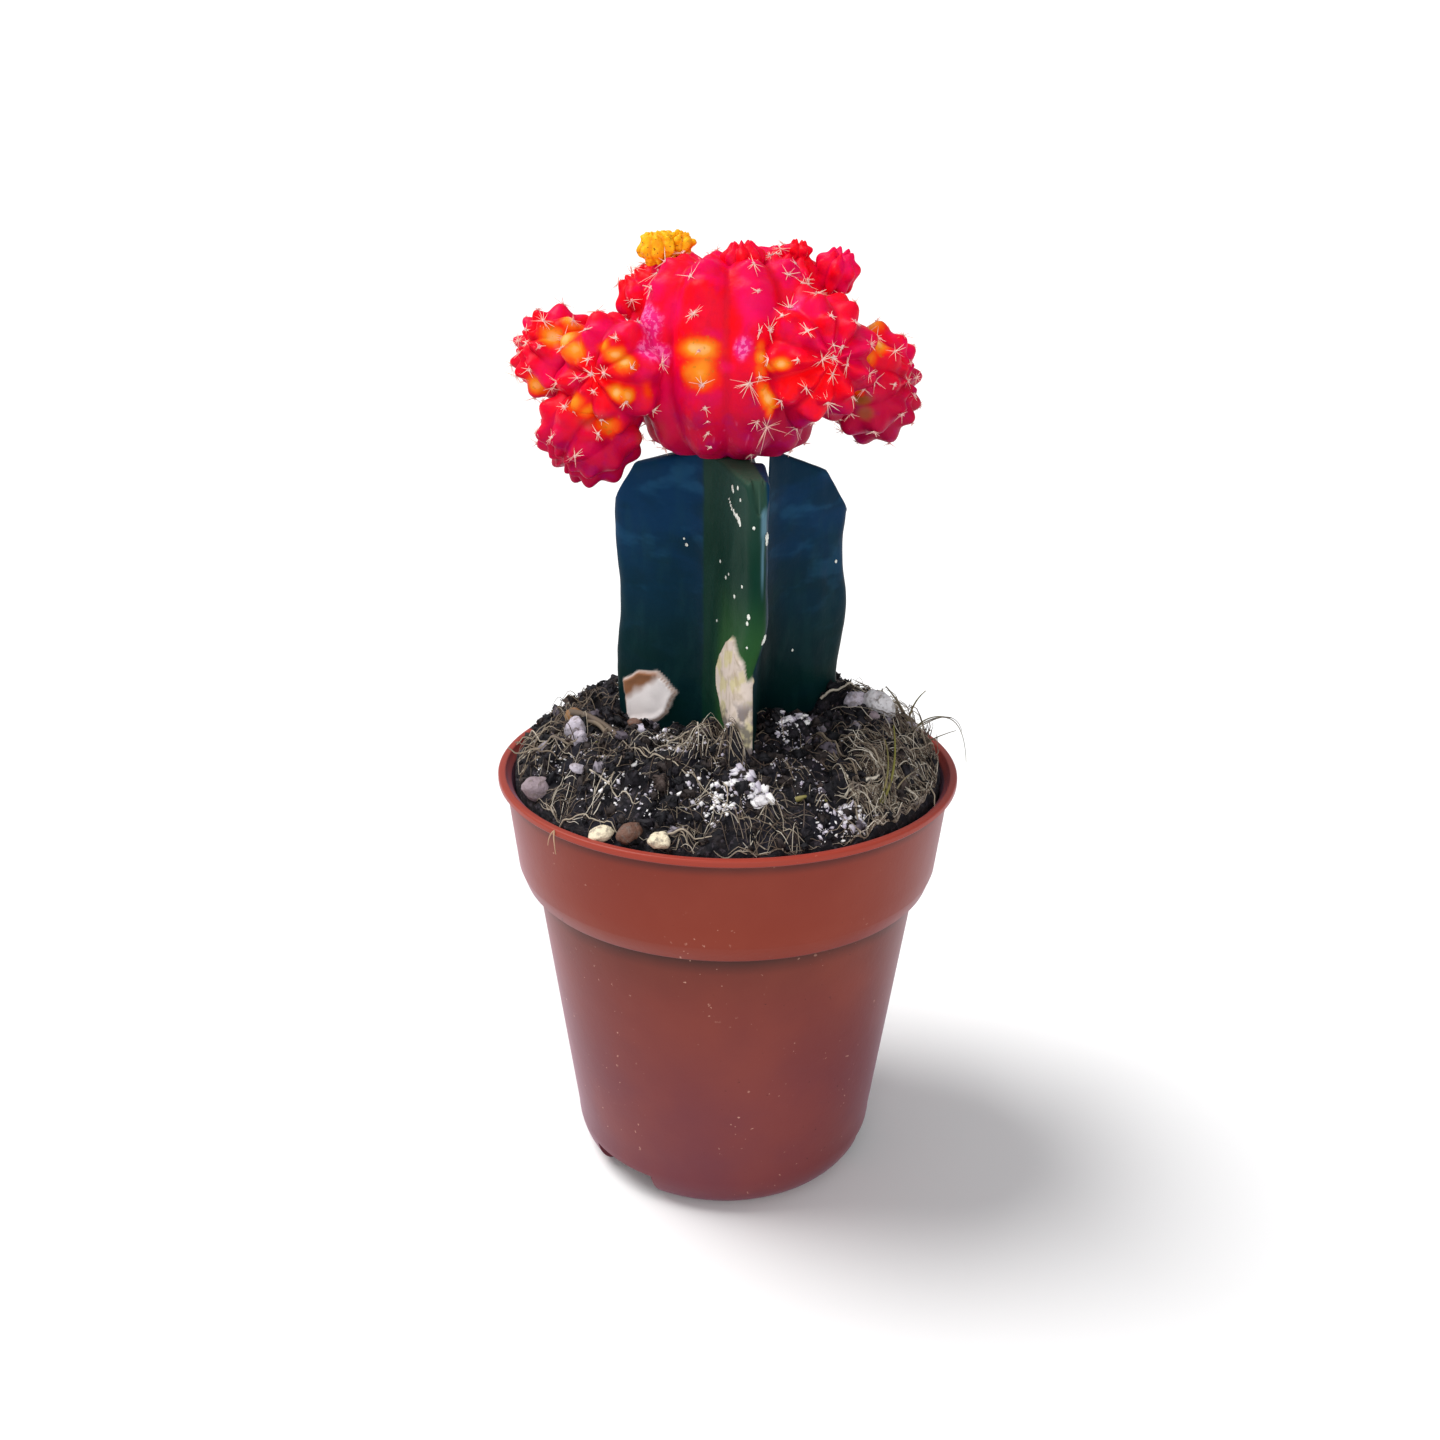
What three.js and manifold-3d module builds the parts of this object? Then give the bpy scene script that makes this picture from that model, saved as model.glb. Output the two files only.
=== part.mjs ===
// Potted moon cactus: a pink scion with ribbed offsets, grafted on a three-winged green stock that
// stands in soil in a small plastic nursery pot.
// Millimetres, +Z up. The origin is on the ground on the pot's axis, and -Y is the front.

import * as THREE from 'three';
import { mergeVertices } from 'three/addons/utils/BufferGeometryUtils.js';
import Module from 'manifold-3d';

const wasm = await Module();
wasm.setup();

// Pot, a thin moulding with a rim lip, a raised band below it, a tapered wall and a foot ring
const POT = {
  segments: 40,
  height: 80.4,
  rimRadius: 42.5,
  lipHeight: 1.3,
  lipWidth: 1.5,
  bandTopRadius: 41.2,
  bandLowRadius: 39.4,
  bandLowZ: 62.8,
  stepRadius: 38.4,
  stepZ: 59.7,
  wallTopRadius: 36.2,
  wallLowRadius: 29.5,
  cornerZ: 8.5,
  footRadius: 23.6,
  footInner: 22,
  skirtRadius: 25,
  floorUnderside: 6.4,
  floorTop: 7.5,
  wall: 1.1,
  floorCorner: 1.2,
};
const FOOT_NOTCH = { count: 3, firstAzimuth: -132, width: 14.5, height: 6, depth: 14, outward: 3 };
const FLOOR_HOLE = { count: 4, firstAzimuth: 45, radius: 2.6, ring: 12, drill: 6, sides: 10 };

// Soil, a filling that mounds up round the stock
const SOIL = {
  moundZ: 90.2,
  moundRadius: 22,
  edgeZ: 80.6,
  edgeRadius: 39.4,
  edgeLowZ: 76.6,
  backLift: 1.6,
  crumb: 0.6,
  rings: 10,
};
// Dips and rises of the soil round the stock: x, y, height and half width
const SOIL_SWELLS = [[-17, 3, -5, 10], [-6, -2, -3, 7], [-1, -14, 1, 6], [11, -7, 1.2, 5]];
const CLEARANCE = 0.3;
// Perlite grains as the photograph shows them in front, and a few more behind: x, y and half width
const PERLITE = [[-21, -32, 1.9], [-10.3, -35.2, 1.7], [-33.2, -14, 1.9], [-28.7, 3.8, 2.2],
  [29.5, 17, 1.6], [26, 20.5, 1.3], [3.4, -29, 1.6], [14, -29, 1.3], [-12, 29, 1.7], [12, 32, 1.5]];
const GRAIN = { flatness: 0.75, proud: 0.25 };
// Bark crumbs between two radii: least length, width and height, and how much longer they may be
const BARK = { count: 7, from: 22, band: 14, length: 2, longer: 2.5, width: 1.4, height: 1.6, proud: 0.4 };
// Root fibres: half of them start in a sector on the right; they arch over the surface
const FIBRE = {
  count: 8,
  sectorFrom: -30,
  sector: 70,
  from: 21,
  band: 11,
  length: 5,
  longer: 4,
  rimGap: 6,
  stockGap: 20,
  sunk: 1,
  arch: 3.6,
  section: [[0.45, 0], [-0.25, 0.4], [-0.25, -0.4]],
};

// Stock, whose three wings meet in a core; azimuths in degrees, reaches from the core's axis.
// The front wing turns a little and draws in below the lean's heights
const STOCK = {
  axis: [0.5, 1],
  footZ: 58,
  graftZ: 138,
  edgeHalf: 1.5,
  // A wing's widening towards the core: share of the reach, and widths in half edges
  waist: { reach: 0.72, width: 1.75 },
  edge: { roundFrom: 0.8, flat: 0.3 },
  waveLength: 27,
  // How far below the soil the wings draw in, and to what share of their reach
  buried: { from: 52, to: 82.2, share: 0.5 },
  wings: [
    { azimuth: -80, lowAzimuth: -84, reach: 24.6, lowReach: 21.8, wave: 0.5, phase: 0.2,
      shoulder: [22.2, 136.5, 24.4, 131.5] },
    { azimuth: 36, lowAzimuth: 36, reach: 25.8, lowReach: 25.8, wave: 0.8, phase: 2.1,
      shoulder: [19.3, 133, 25.6, 125.3] },
    { azimuth: 157, lowAzimuth: 157, reach: 22.9, lowReach: 22.9, wave: 0.5, phase: 4.4,
      shoulder: [18.6, 134.7, 22.8, 128.8] },
  ],
  lean: [101, 114],
  valleys: [
    { azimuth: -14, radius: 6.4 },
    { azimuth: 93, radius: 9.6 },
    { azimuth: 205, radius: 5.9 },
  ],
  coreRadius: 6,
};
// Gap beside the front wing, open to the back: its section at y 0, its ends, and how it falls and
// opens towards the back
const STOCK_NOTCH = { left: 2.6, right: 6.7, floorX: 6.5, floorZ: 131.6, from: -9, to: 30, fall: 0.194,
  open: 0.028 };

// Scion heads: centre, growth axis, rib count, teeth from pole to pole, radius across the axis,
// half height along it, rib depth, tooth height and how boxy the outline is
const HEADS = [
  { name: 'crown', at: [-0.4, 2, 154.2], axis: [0, 0, 1], crest: -110, ribs: 10, teeth: 9,
    radius: 16.2, half: 17.3, rib: 1.4, tooth: 0.7, boxy: 0.5, dimple: 3.0 },
  { name: 'front_right', at: [12.6, -7.6, 154.6], axis: [0.42, -0.9, 0.06], crest: 8, ribs: 9, teeth: 6,
    radius: 9.8, half: 8.6, rib: 1.2, tooth: 1.3, boxy: 0.8, dimple: 0.8 },
  { name: 'far_right', at: [23.8, 1.5, 149.4], axis: [0.88, -0.38, 0.16], crest: 0, ribs: 8, teeth: 5,
    radius: 9.0, half: 6.9, rib: 1.0, tooth: 1.2, boxy: 0.8, dimple: 0.7 },
  { name: 'front_left', at: [-19.4, -6.4, 151.7], axis: [-0.4, -0.91, 0.05], crest: 12, ribs: 8, teeth: 5,
    radius: 8.7, half: 7.8, rib: 1.0, tooth: 1.2, boxy: 0.8, dimple: 0.7 },
  { name: 'upper_left', at: [-29.4, 1.5, 153.6], axis: [-0.82, -0.45, 0.36], crest: 0, ribs: 8, teeth: 5,
    radius: 6.9, half: 6.6, rib: 0.9, tooth: 1.2, boxy: 0.8, dimple: 0.5 },
  { name: 'low_left', at: [-23.8, -4.6, 141.8], axis: [-0.62, -0.45, -0.64], crest: 20, ribs: 8, teeth: 5,
    radius: 7.9, half: 7.4, rib: 1.0, tooth: 1.2, boxy: 0.8, dimple: 0.5 },
  { name: 'top_right', at: [7.8, 3.0, 164.4], axis: [0.3, -0.2, 0.93], crest: 30, ribs: 8, teeth: 4,
    radius: 6.5, half: 6.6, rib: 0.9, tooth: 0.7, boxy: 0.7, dimple: 0.8 },
  { name: 'back_right', at: [10.5, 15, 151.2], axis: [0.5, 0.85, 0.1], crest: 0, ribs: 8, teeth: 5,
    radius: 8.8, half: 7.8, rib: 1.0, tooth: 1.2, boxy: 0.8, dimple: 0.7 },
  { name: 'back_left', at: [-12.5, 13.5, 149.8], axis: [-0.6, 0.78, -0.05], crest: 15, ribs: 8, teeth: 5,
    radius: 8.3, half: 7.4, rib: 1.0, tooth: 1.2, boxy: 0.8, dimple: 0.7 },
  { name: 'top_left', at: [-14.2, 4, 162.8], axis: [-0.6, 0.1, 0.8], crest: 0, ribs: 7, teeth: 3,
    radius: 4.8, half: 4.6, rib: 0.7, tooth: 0.8, boxy: 0.75, dimple: 0.4 },
  { name: 'bud', at: [17.0, 0.5, 167.6], axis: [0.25, -0.3, 0.92], crest: 0, ribs: 7, teeth: 3,
    radius: 3.2, half: 3.1, rib: 0.5, tooth: 0.7, boxy: 0.7, dimple: 0.2, neck: [13, 0, 157.5] },
  { name: 'pup_right', at: [10.6, 1.5, 170.6], axis: [0.1, -0.1, 0.99], crest: 0, ribs: 6, teeth: 3,
    radius: 1.9, half: 1.5, rib: 0.3, tooth: 0.5, boxy: 0.8, dimple: 0.2 },
  { name: 'pup_top', at: [1.5, -4.8, 169.2], axis: [-0.1, -0.1, 0.98], crest: 0, ribs: 8, teeth: 3,
    radius: 3.2, half: 2.9, rib: 0.4, tooth: 0.5, boxy: 0.75, dimple: 0.3 },
];
const YELLOW_HEADS = [
  { name: 'big', at: [-12.4, 0.2, 171.2], axis: [-0.1, -0.12, 0.98], crest: 0, ribs: 8, teeth: 4,
    radius: 3.0, half: 2.4, rib: 0.35, tooth: 0.5, boxy: 0.75, dimple: 0.4 },
  { name: 'small', at: [-8.5, 0.6, 171.7], axis: [0.1, -0.1, 0.98], crest: 0, ribs: 6, teeth: 3,
    radius: 1.8, half: 1.7, rib: 0.25, tooth: 0.3, boxy: 0.75, dimple: 0.2 },
];
// Teeth stand closer together towards a head's tip: their count grows with this power of the angle
const TIP_CROWDING = 0.75;
// Where a rib neither swells nor sinks, how far from the poles ribs reach full depth, and how wide
// the dimple at a tip is, as sines of the angle from the tip
const SKIN = { ribRest: 0.6, fullDepth: 0.32, dimpleWidth: 0.35 };
const NECK = { radius: 1.3, curveSegments: 5 };
// Flat under the scion where it sits on the stock
const SEAT = { width: 30, depth: 20, backward: 4 };
// Spines stand beside the crest, a share of a rib's width, and below the tooth, a share of its step
const SPINE = {
  root: 0.32,
  sunk: 0.7,
  shortest: 3.2,
  longest: 5.4,
  besideCrest: 0.055,
  belowTooth: 0.25,
  lean: 1.4,
};
// Room that spines keep from other heads, from the stock's top and its wings, and from the pups, and
// the height above which there are none
const SPINE_ROOM = { heads: 0.6, stockTop: 1.2, stockReach: 27.5, pups: 2.2, highest: 166.5 };
const STOCK_LEVELS = 22;
const SLAB = { length: 40, width: 24, depth: 20, topLength: 30, topWidth: 40, topDepth: 12 };
const SPINELESS = ['bud', 'pup_right', 'pup_top'];

// Colours as the eye reads them in the photograph
const COLOURS = {
  pot: 0x8c3b2d,
  soil: 0x2b2622,
  rootstock: 0x1d3b40,
  scion: 0xe01240,
  yellow_pups: 0xf2a81d,
};

const radians = THREE.MathUtils.degToRad;

// Seeded random numbers from 0 to 1
function randomSource(seed) {
  let state = seed;
  return () => {
    state = (state * 1664525 + 1013904223) % 4294967296;
    return state / 4294967296;
  };
}

// Closed solid of a geometry whose shared vertices are merged
function solidOf(geometry) {
  const bare = geometry.clone();
  for (const name of Object.keys(bare.attributes)) {
    if (name !== 'position') bare.deleteAttribute(name);
  }
  const merged = mergeVertices(bare, 1e-5);
  const vertProperties = new Float32Array(merged.attributes.position.array);
  const triVerts = new Uint32Array(merged.index.array);
  return new wasm.Manifold(new wasm.Mesh({ numProp: 3, vertProperties, triVerts }));
}

function geometryOf(solid) {
  const mesh = solid.getMesh();
  const geometry = new THREE.BufferGeometry();
  geometry.setAttribute('position', new THREE.BufferAttribute(mesh.vertProperties, 3));
  geometry.setIndex(new THREE.BufferAttribute(mesh.triVerts, 1));
  geometry.computeVertexNormals();
  return geometry;
}

function joined(solids) {
  let whole = solids[0];
  for (const solid of solids.slice(1)) whole = whole.add(solid);
  return whole;
}

// The one body that holds together; crumbs cut loose from it are dropped
function mainBody(solid) {
  const bodies = solid.decompose();
  bodies.sort((a, b) => b.volume() - a.volume());
  return bodies[0];
}

function lathe(profile) {
  const points = profile.map(([r, z]) => new THREE.Vector2(r, z));
  return new THREE.LatheGeometry(points, POT.segments).rotateX(Math.PI / 2);
}

// Points of the wall below the band: a rounded foot corner, then the straight taper
function lowerWall(inset) {
  const points = [];
  const steps = 3;
  for (let i = 0; i <= steps; i += 1) {
    const turn = (i / steps) * (Math.PI / 2);
    const reach = POT.wallLowRadius - POT.footRadius;
    points.push([
      POT.footRadius + reach * Math.sin(turn) - inset,
      POT.cornerZ - POT.cornerZ * Math.cos(turn),
    ]);
  }
  points.push([POT.wallTopRadius - inset, POT.stepZ]);
  return points;
}

// The room inside the pot, from the floor up into the band, drawn in by the given inset
function interiorProfile(inset) {
  const wall = POT.wall + inset;
  const stepTop = POT.stepZ + POT.wall;
  const low = lowerWall(wall).filter(([, z]) => z > POT.floorTop);
  const corner = low[0][0] - POT.floorCorner;
  return [
    [corner, POT.floorTop],
    ...low.slice(0, -1),
    [POT.wallTopRadius - wall, stepTop],
    [POT.stepRadius - wall, stepTop],
    [POT.bandLowRadius - wall, POT.bandLowZ + POT.wall],
  ];
}

function makePot() {
  const outer = [
    [0, POT.floorUnderside],
    [POT.skirtRadius, POT.floorUnderside],
    [POT.footInner, 0],
    ...lowerWall(0),
    [POT.stepRadius, POT.stepZ],
    [POT.bandLowRadius, POT.bandLowZ],
    [POT.bandTopRadius, POT.height - POT.lipHeight],
    [POT.rimRadius, POT.height - POT.lipHeight],
    [POT.rimRadius, POT.height],
  ];
  const inner = [
    ...interiorProfile(0),
    [POT.bandTopRadius - POT.wall, POT.height - POT.lipHeight],
    [POT.rimRadius - POT.lipWidth, POT.height],
  ].reverse();
  let pot = solidOf(lathe([...outer, ...inner, [0, POT.floorTop]]));
  for (let i = 0; i < FOOT_NOTCH.count; i += 1) {
    const azimuth = radians(FOOT_NOTCH.firstAzimuth + (i * 360) / FOOT_NOTCH.count);
    const notch = new THREE.BoxGeometry(FOOT_NOTCH.depth, FOOT_NOTCH.width, 2 * FOOT_NOTCH.height);
    notch.translate(POT.footRadius + FOOT_NOTCH.outward, 0, 0);
    notch.rotateZ(azimuth);
    pot = pot.subtract(solidOf(notch));
  }
  for (let i = 0; i < FLOOR_HOLE.count; i += 1) {
    const azimuth = radians(FLOOR_HOLE.firstAzimuth + (i * 360) / FLOOR_HOLE.count);
    const { radius, drill, sides } = FLOOR_HOLE;
    const hole = new THREE.CylinderGeometry(radius, radius, drill, sides);
    hole.rotateX(Math.PI / 2);
    hole.translate(FLOOR_HOLE.ring * Math.cos(azimuth), FLOOR_HOLE.ring * Math.sin(azimuth), POT.floorTop);
    pot = pot.subtract(solidOf(hole));
  }
  return pot;
}

// Height of the soil's surface: a mound round the stock, low at the rim, a little higher behind
function soilHeight(x, y) {
  const r = Math.hypot(x, y);
  const spread = Math.max(r - SOIL.moundRadius, 0) / (SOIL.edgeRadius - SOIL.moundRadius);
  const base = THREE.MathUtils.lerp(SOIL.moundZ, SOIL.edgeZ, spread ** 2);
  const back = (SOIL.backLift * y) / SOIL.edgeRadius;
  let swell = 0;
  for (const [a, b, height, width] of SOIL_SWELLS) {
    swell += height * Math.exp(-((x - a) ** 2 + (y - b) ** 2) / width ** 2);
  }
  // Waves in three directions that never fall together make an uneven surface
  const broad = Math.sin(0.61 * x + 1.3) * Math.cos(0.53 * y - 0.4);
  const slanted = 0.7 * Math.sin(1.17 * x - 0.9 * y + 2);
  const fine = 0.5 * Math.cos(1.7 * y + 0.8 * x);
  return base + back + swell + SOIL.crumb * (broad + slanted + fine);
}

// The filling below its surface: a disc of rings whose top is lifted to the soil's height
function makeSoilBody() {
  const points = [[0, POT.floorTop], ...interiorProfile(CLEARANCE), [SOIL.edgeRadius, SOIL.edgeLowZ]];
  for (let i = SOIL.rings; i >= 0; i -= 1) {
    points.push([(SOIL.edgeRadius * i) / SOIL.rings, POT.height]);
  }
  const geometry = lathe(points);
  const position = geometry.attributes.position;
  for (let i = 0; i < position.count; i += 1) {
    if (position.getZ(i) < POT.height - 0.01) continue;
    const x = position.getX(i);
    const y = position.getY(i);
    position.setZ(i, soilHeight(x, y));
  }
  return solidOf(geometry);
}

// Perlite grains, bark crumbs and root fibres, set into the surface by a seeded rule
function soilBits(random) {
  const bits = [];
  for (const [x, y, size] of PERLITE) {
    const grain = new THREE.IcosahedronGeometry(size, 0);
    grain.rotateX(random() * 3);
    grain.rotateZ(random() * 3);
    grain.scale(1, 1, GRAIN.flatness);
    grain.translate(x, y, soilHeight(x, y) + GRAIN.proud * size);
    bits.push(solidOf(grain));
  }
  for (let i = 0; i < BARK.count; i += 1) {
    const azimuth = random() * 2 * Math.PI;
    const r = BARK.from + BARK.band * random();
    const x = r * Math.cos(azimuth);
    const y = r * Math.sin(azimuth);
    const chip = new THREE.BoxGeometry(
      BARK.length + BARK.longer * random(),
      BARK.width + random(),
      BARK.height + random(),
    );
    chip.rotateX(random());
    chip.rotateY(random());
    chip.rotateZ(random() * 3);
    chip.translate(x, y, soilHeight(x, y) + BARK.proud);
    bits.push(solidOf(chip));
  }
  for (let i = 0; i < FIBRE.count; i += 1) {
    const inSector = i % 2 === 0;
    const from = inSector ? radians(FIBRE.sectorFrom) : 0;
    const azimuth = from + random() * (inSector ? radians(FIBRE.sector) : 2 * Math.PI);
    const r = FIBRE.from + FIBRE.band * random();
    const heading = random() * 2 * Math.PI;
    const start = new THREE.Vector2(r * Math.cos(azimuth), r * Math.sin(azimuth));
    const reach = new THREE.Vector2(Math.cos(heading), Math.sin(heading));
    reach.multiplyScalar(FIBRE.length + FIBRE.longer * random());
    const end = start.clone().add(reach);
    if (end.length() > POT.rimRadius - FIBRE.rimGap) end.setLength(POT.rimRadius - FIBRE.rimGap);
    if (end.length() < FIBRE.stockGap) end.setLength(FIBRE.stockGap);
    const middle = start.clone().add(end).multiplyScalar(0.5);
    const path = new THREE.QuadraticBezierCurve3(
      new THREE.Vector3(start.x, start.y, soilHeight(start.x, start.y) - FIBRE.sunk),
      new THREE.Vector3(middle.x, middle.y, soilHeight(middle.x, middle.y) + FIBRE.arch),
      new THREE.Vector3(end.x, end.y, soilHeight(end.x, end.y) - FIBRE.sunk),
    );
    const section = new THREE.Shape(FIBRE.section.map(([a, b]) => new THREE.Vector2(a, b)));
    const fibre = new THREE.ExtrudeGeometry(section, { steps: 3, extrudePath: path });
    bits.push(solidOf(fibre));
  }
  return bits;
}

// The filling with what lies in it, kept off the pot's wall, with a plain hole for the stock
function makeSoil(random) {
  const top = POT.height + 20;
  const room = [[0, POT.floorTop], ...interiorProfile(CLEARANCE), [SOIL.edgeRadius, SOIL.edgeLowZ],
    [SOIL.edgeRadius, top], [0, top]];
  const filling = joined([makeSoilBody(), ...soilBits(random)]);
  return mainBody(filling.intersect(solidOf(lathe(room))).subtract(stockSolid(CLEARANCE)));
}

// Outline of the stock at a height: valleys between wings whose edges are rounded and wavy
function stockOutline(z, grow) {
  const outline = [];
  STOCK.wings.forEach((wing, i) => {
    const valley = STOCK.valleys[i];
    const before = STOCK.valleys[(i + STOCK.valleys.length - 1) % STOCK.valleys.length];
    const swell = wing.wave * Math.sin((2 * Math.PI * z) / STOCK.waveLength + wing.phase);
    const drawn = THREE.MathUtils.smoothstep(z, STOCK.buried.from, STOCK.buried.to);
    const share = THREE.MathUtils.lerp(STOCK.buried.share, 1, drawn);
    const upper = THREE.MathUtils.smoothstep(z, ...STOCK.lean);
    const length = THREE.MathUtils.lerp(wing.lowReach, wing.reach, upper) + swell;
    const reach = length * share + grow;
    const half = STOCK.edgeHalf + grow;
    const azimuth = radians(THREE.MathUtils.lerp(wing.lowAzimuth, wing.azimuth, upper));
    const along = new THREE.Vector2(Math.cos(azimuth), Math.sin(azimuth));
    const across = new THREE.Vector2(-along.y, along.x);
    const point = (out, side) => [
      STOCK.axis[0] + along.x * out + across.x * side,
      STOCK.axis[1] + along.y * out + across.y * side,
    ];
    const valleyPoint = ({ azimuth, radius }) => [
      STOCK.axis[0] + Math.cos(radians(azimuth)) * (radius + grow),
      STOCK.axis[1] + Math.sin(radians(azimuth)) * (radius + grow),
    ];
    if (i === 0) outline.push(valleyPoint(before));
    const waist = reach * STOCK.waist.reach;
    const bend = reach - half * STOCK.edge.roundFrom;
    outline.push(point(waist, -half * STOCK.waist.width));
    outline.push(point(bend, -half));
    outline.push(point(reach, -half * STOCK.edge.flat));
    outline.push(point(reach, half * STOCK.edge.flat));
    outline.push(point(bend, half));
    outline.push(point(waist, half * STOCK.waist.width));
    if (i < STOCK.wings.length - 1) outline.push(valleyPoint(valley));
  });
  return outline;
}

// A prism between levels, each with its own outline of as many points
function loftGeometry(levels, outlineAt) {
  const rings = levels.map((z) => outlineAt(z));
  const count = rings[0].length;
  const geometry = new THREE.CylinderGeometry(1, 1, 1, count, levels.length - 1);
  const bare = mergeVertices(geometry.deleteAttribute('normal').deleteAttribute('uv'), 1e-5);
  bare.rotateX(Math.PI / 2);
  const position = bare.attributes.position;
  for (let i = 0; i < position.count; i += 1) {
    const level = Math.round((position.getZ(i) + 0.5) * (levels.length - 1));
    const ring = rings[level];
    const radius = Math.hypot(position.getX(i), position.getY(i));
    if (radius < 0.5) {
      position.setXYZ(i, STOCK.axis[0], STOCK.axis[1], levels[level]);
      continue;
    }
    const turn = Math.atan2(position.getY(i), position.getX(i)) / (2 * Math.PI);
    const k = Math.round((turn + 1) * count) % count;
    position.setXYZ(i, ring[k][0], ring[k][1], levels[level]);
  }
  return bare;
}

function stockSolid(grow) {
  const levels = [];
  for (let i = 0; i <= STOCK_LEVELS; i += 1) {
    levels.push(THREE.MathUtils.lerp(STOCK.footZ, STOCK.graftZ, i / STOCK_LEVELS));
  }
  return solidOf(loftGeometry(levels, (z) => stockOutline(z, grow)));
}

// A slab whose lower face runs through two points of a wing's radius, to trim what lies above
function trimSlab(azimuth, [innerR, innerZ], [outerR, outerZ]) {
  const slope = Math.atan2(innerZ - outerZ, outerR - innerR);
  const slab = new THREE.BoxGeometry(SLAB.length, SLAB.width, SLAB.depth);
  slab.translate(0, 0, SLAB.depth / 2);
  slab.rotateY(slope);
  slab.translate((innerR + outerR) / 2, 0, (innerZ + outerZ) / 2);
  slab.rotateZ(radians(azimuth));
  slab.translate(STOCK.axis[0], STOCK.axis[1], 0);
  return solidOf(slab);
}

function makeStock() {
  let stock = stockSolid(0);
  for (const wing of STOCK.wings) {
    const [innerR, innerZ, outerR, outerZ] = wing.shoulder;
    stock = stock.subtract(trimSlab(wing.azimuth, [innerR, innerZ], [outerR, outerZ]));
    stock = stock.subtract(topSlab(wing.azimuth, innerR, innerZ));
  }
  const gap = STOCK_NOTCH;
  const section = new THREE.Shape([
    new THREE.Vector2(gap.left, STOCK.graftZ + 1),
    new THREE.Vector2(gap.floorX, gap.floorZ),
    new THREE.Vector2(gap.right, STOCK.graftZ + 1),
  ]);
  const notch = new THREE.ExtrudeGeometry(section, { depth: gap.to - gap.from, bevelEnabled: false });
  notch.rotateX(Math.PI / 2);
  notch.translate(0, gap.to, 0);
  const position = notch.attributes.position;
  for (let i = 0; i < position.count; i += 1) {
    const y = position.getY(i);
    const fall = position.getZ(i) > STOCK.graftZ ? 0 : gap.fall * y;
    position.setXYZ(i, position.getX(i) + gap.open * y, y, position.getZ(i) - fall);
  }
  return mainBody(stock.subtract(solidOf(notch)));
}

// The wing's top falls gently from the core to its shoulder
function topSlab(azimuth, innerR, innerZ) {
  const drop = Math.atan2(STOCK.graftZ - innerZ, innerR - STOCK.coreRadius);
  const slab = new THREE.BoxGeometry(SLAB.topLength, SLAB.topWidth, SLAB.topDepth);
  slab.translate(SLAB.topLength / 2, 0, SLAB.topDepth / 2);
  slab.rotateY(drop);
  slab.translate(STOCK.coreRadius, 0, STOCK.graftZ);
  slab.rotateZ(radians(azimuth));
  slab.translate(STOCK.axis[0], STOCK.axis[1], 0);
  return solidOf(slab);
}

// A head's own frame: two cross directions and its growth axis
function headFrame(head) {
  const axis = new THREE.Vector3(...head.axis).normalize();
  const guide = Math.abs(axis.z) > 0.9 ? new THREE.Vector3(1, 0, 0) : new THREE.Vector3(0, 0, 1);
  const first = guide.clone().addScaledVector(axis, -guide.dot(axis)).normalize();
  const second = new THREE.Vector3().crossVectors(axis, first);
  return { first, second, axis };
}

// Point of a head's skin at an angle round its axis (theta) and from its tip (phi).
// Ribs have round crests and sharp valleys; teeth swell along each crest.
function skinPoint(head, frame, theta, phi, grow = 0) {
  const sine = Math.max(Math.sin(phi), 0);
  const turn = theta - radians(head.crest);
  const crest = Math.abs(Math.cos((head.ribs * turn) / 2));
  const tooth = 0.5 - 0.5 * Math.cos(2 * Math.PI * head.teeth * (phi / Math.PI) ** TIP_CROWDING);
  const fade = THREE.MathUtils.smoothstep(sine, 0, SKIN.fullDepth);
  const lift = fade * (head.rib * (crest - SKIN.ribRest) + head.tooth * crest * crest * tooth) + grow;
  const across = head.radius * sine ** head.boxy + lift * sine;
  const sink = phi < Math.PI / 2 ? head.dimple * Math.exp(-((sine / SKIN.dimpleWidth) ** 2)) : 0;
  const along = head.half * Math.cos(phi) + lift * Math.cos(phi) - sink;
  return new THREE.Vector3(...head.at)
    .addScaledVector(frame.first, across * Math.cos(theta))
    .addScaledVector(frame.second, across * Math.sin(theta))
    .addScaledVector(frame.axis, along);
}

// Angle from the tip at which the given tooth, counted from the tip, stands
function toothAngle(head, count) {
  return Math.PI * Math.min(count / head.teeth, 1) ** (1 / TIP_CROWDING);
}

function headSolid(head, grow = 0) {
  const frame = headFrame(head);
  const spokes = (head.teeth > 3 ? 4 : 2) * head.ribs;
  const sphere = new THREE.SphereGeometry(1, spokes, 2 * head.teeth);
  sphere.rotateX(Math.PI / 2);
  const position = sphere.attributes.position;
  const step = (2 * Math.PI) / spokes;
  for (let i = 0; i < position.count; i += 1) {
    const angle = Math.acos(THREE.MathUtils.clamp(position.getZ(i), -1, 1));
    const level = Math.round((angle * 2 * head.teeth) / Math.PI);
    const phi = toothAngle(head, level / 2);
    const spoke = Math.round(Math.atan2(position.getY(i), position.getX(i)) / step);
    const point = skinPoint(head, frame, spoke * step + radians(head.crest), phi, grow);
    position.setXYZ(i, point.x, point.y, point.z);
  }
  return solidOf(sphere);
}

// A short round stalk from inside the parent to the head it carries
function neckSolid(head) {
  const from = new THREE.Vector3(...head.neck);
  const path = new THREE.LineCurve3(from, new THREE.Vector3(...head.at));
  const section = new THREE.Shape().absarc(0, 0, NECK.radius, 0, 2 * Math.PI);
  const options = { steps: 1, curveSegments: NECK.curveSegments, extrudePath: path };
  return solidOf(new THREE.ExtrudeGeometry(section, options));
}

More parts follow.
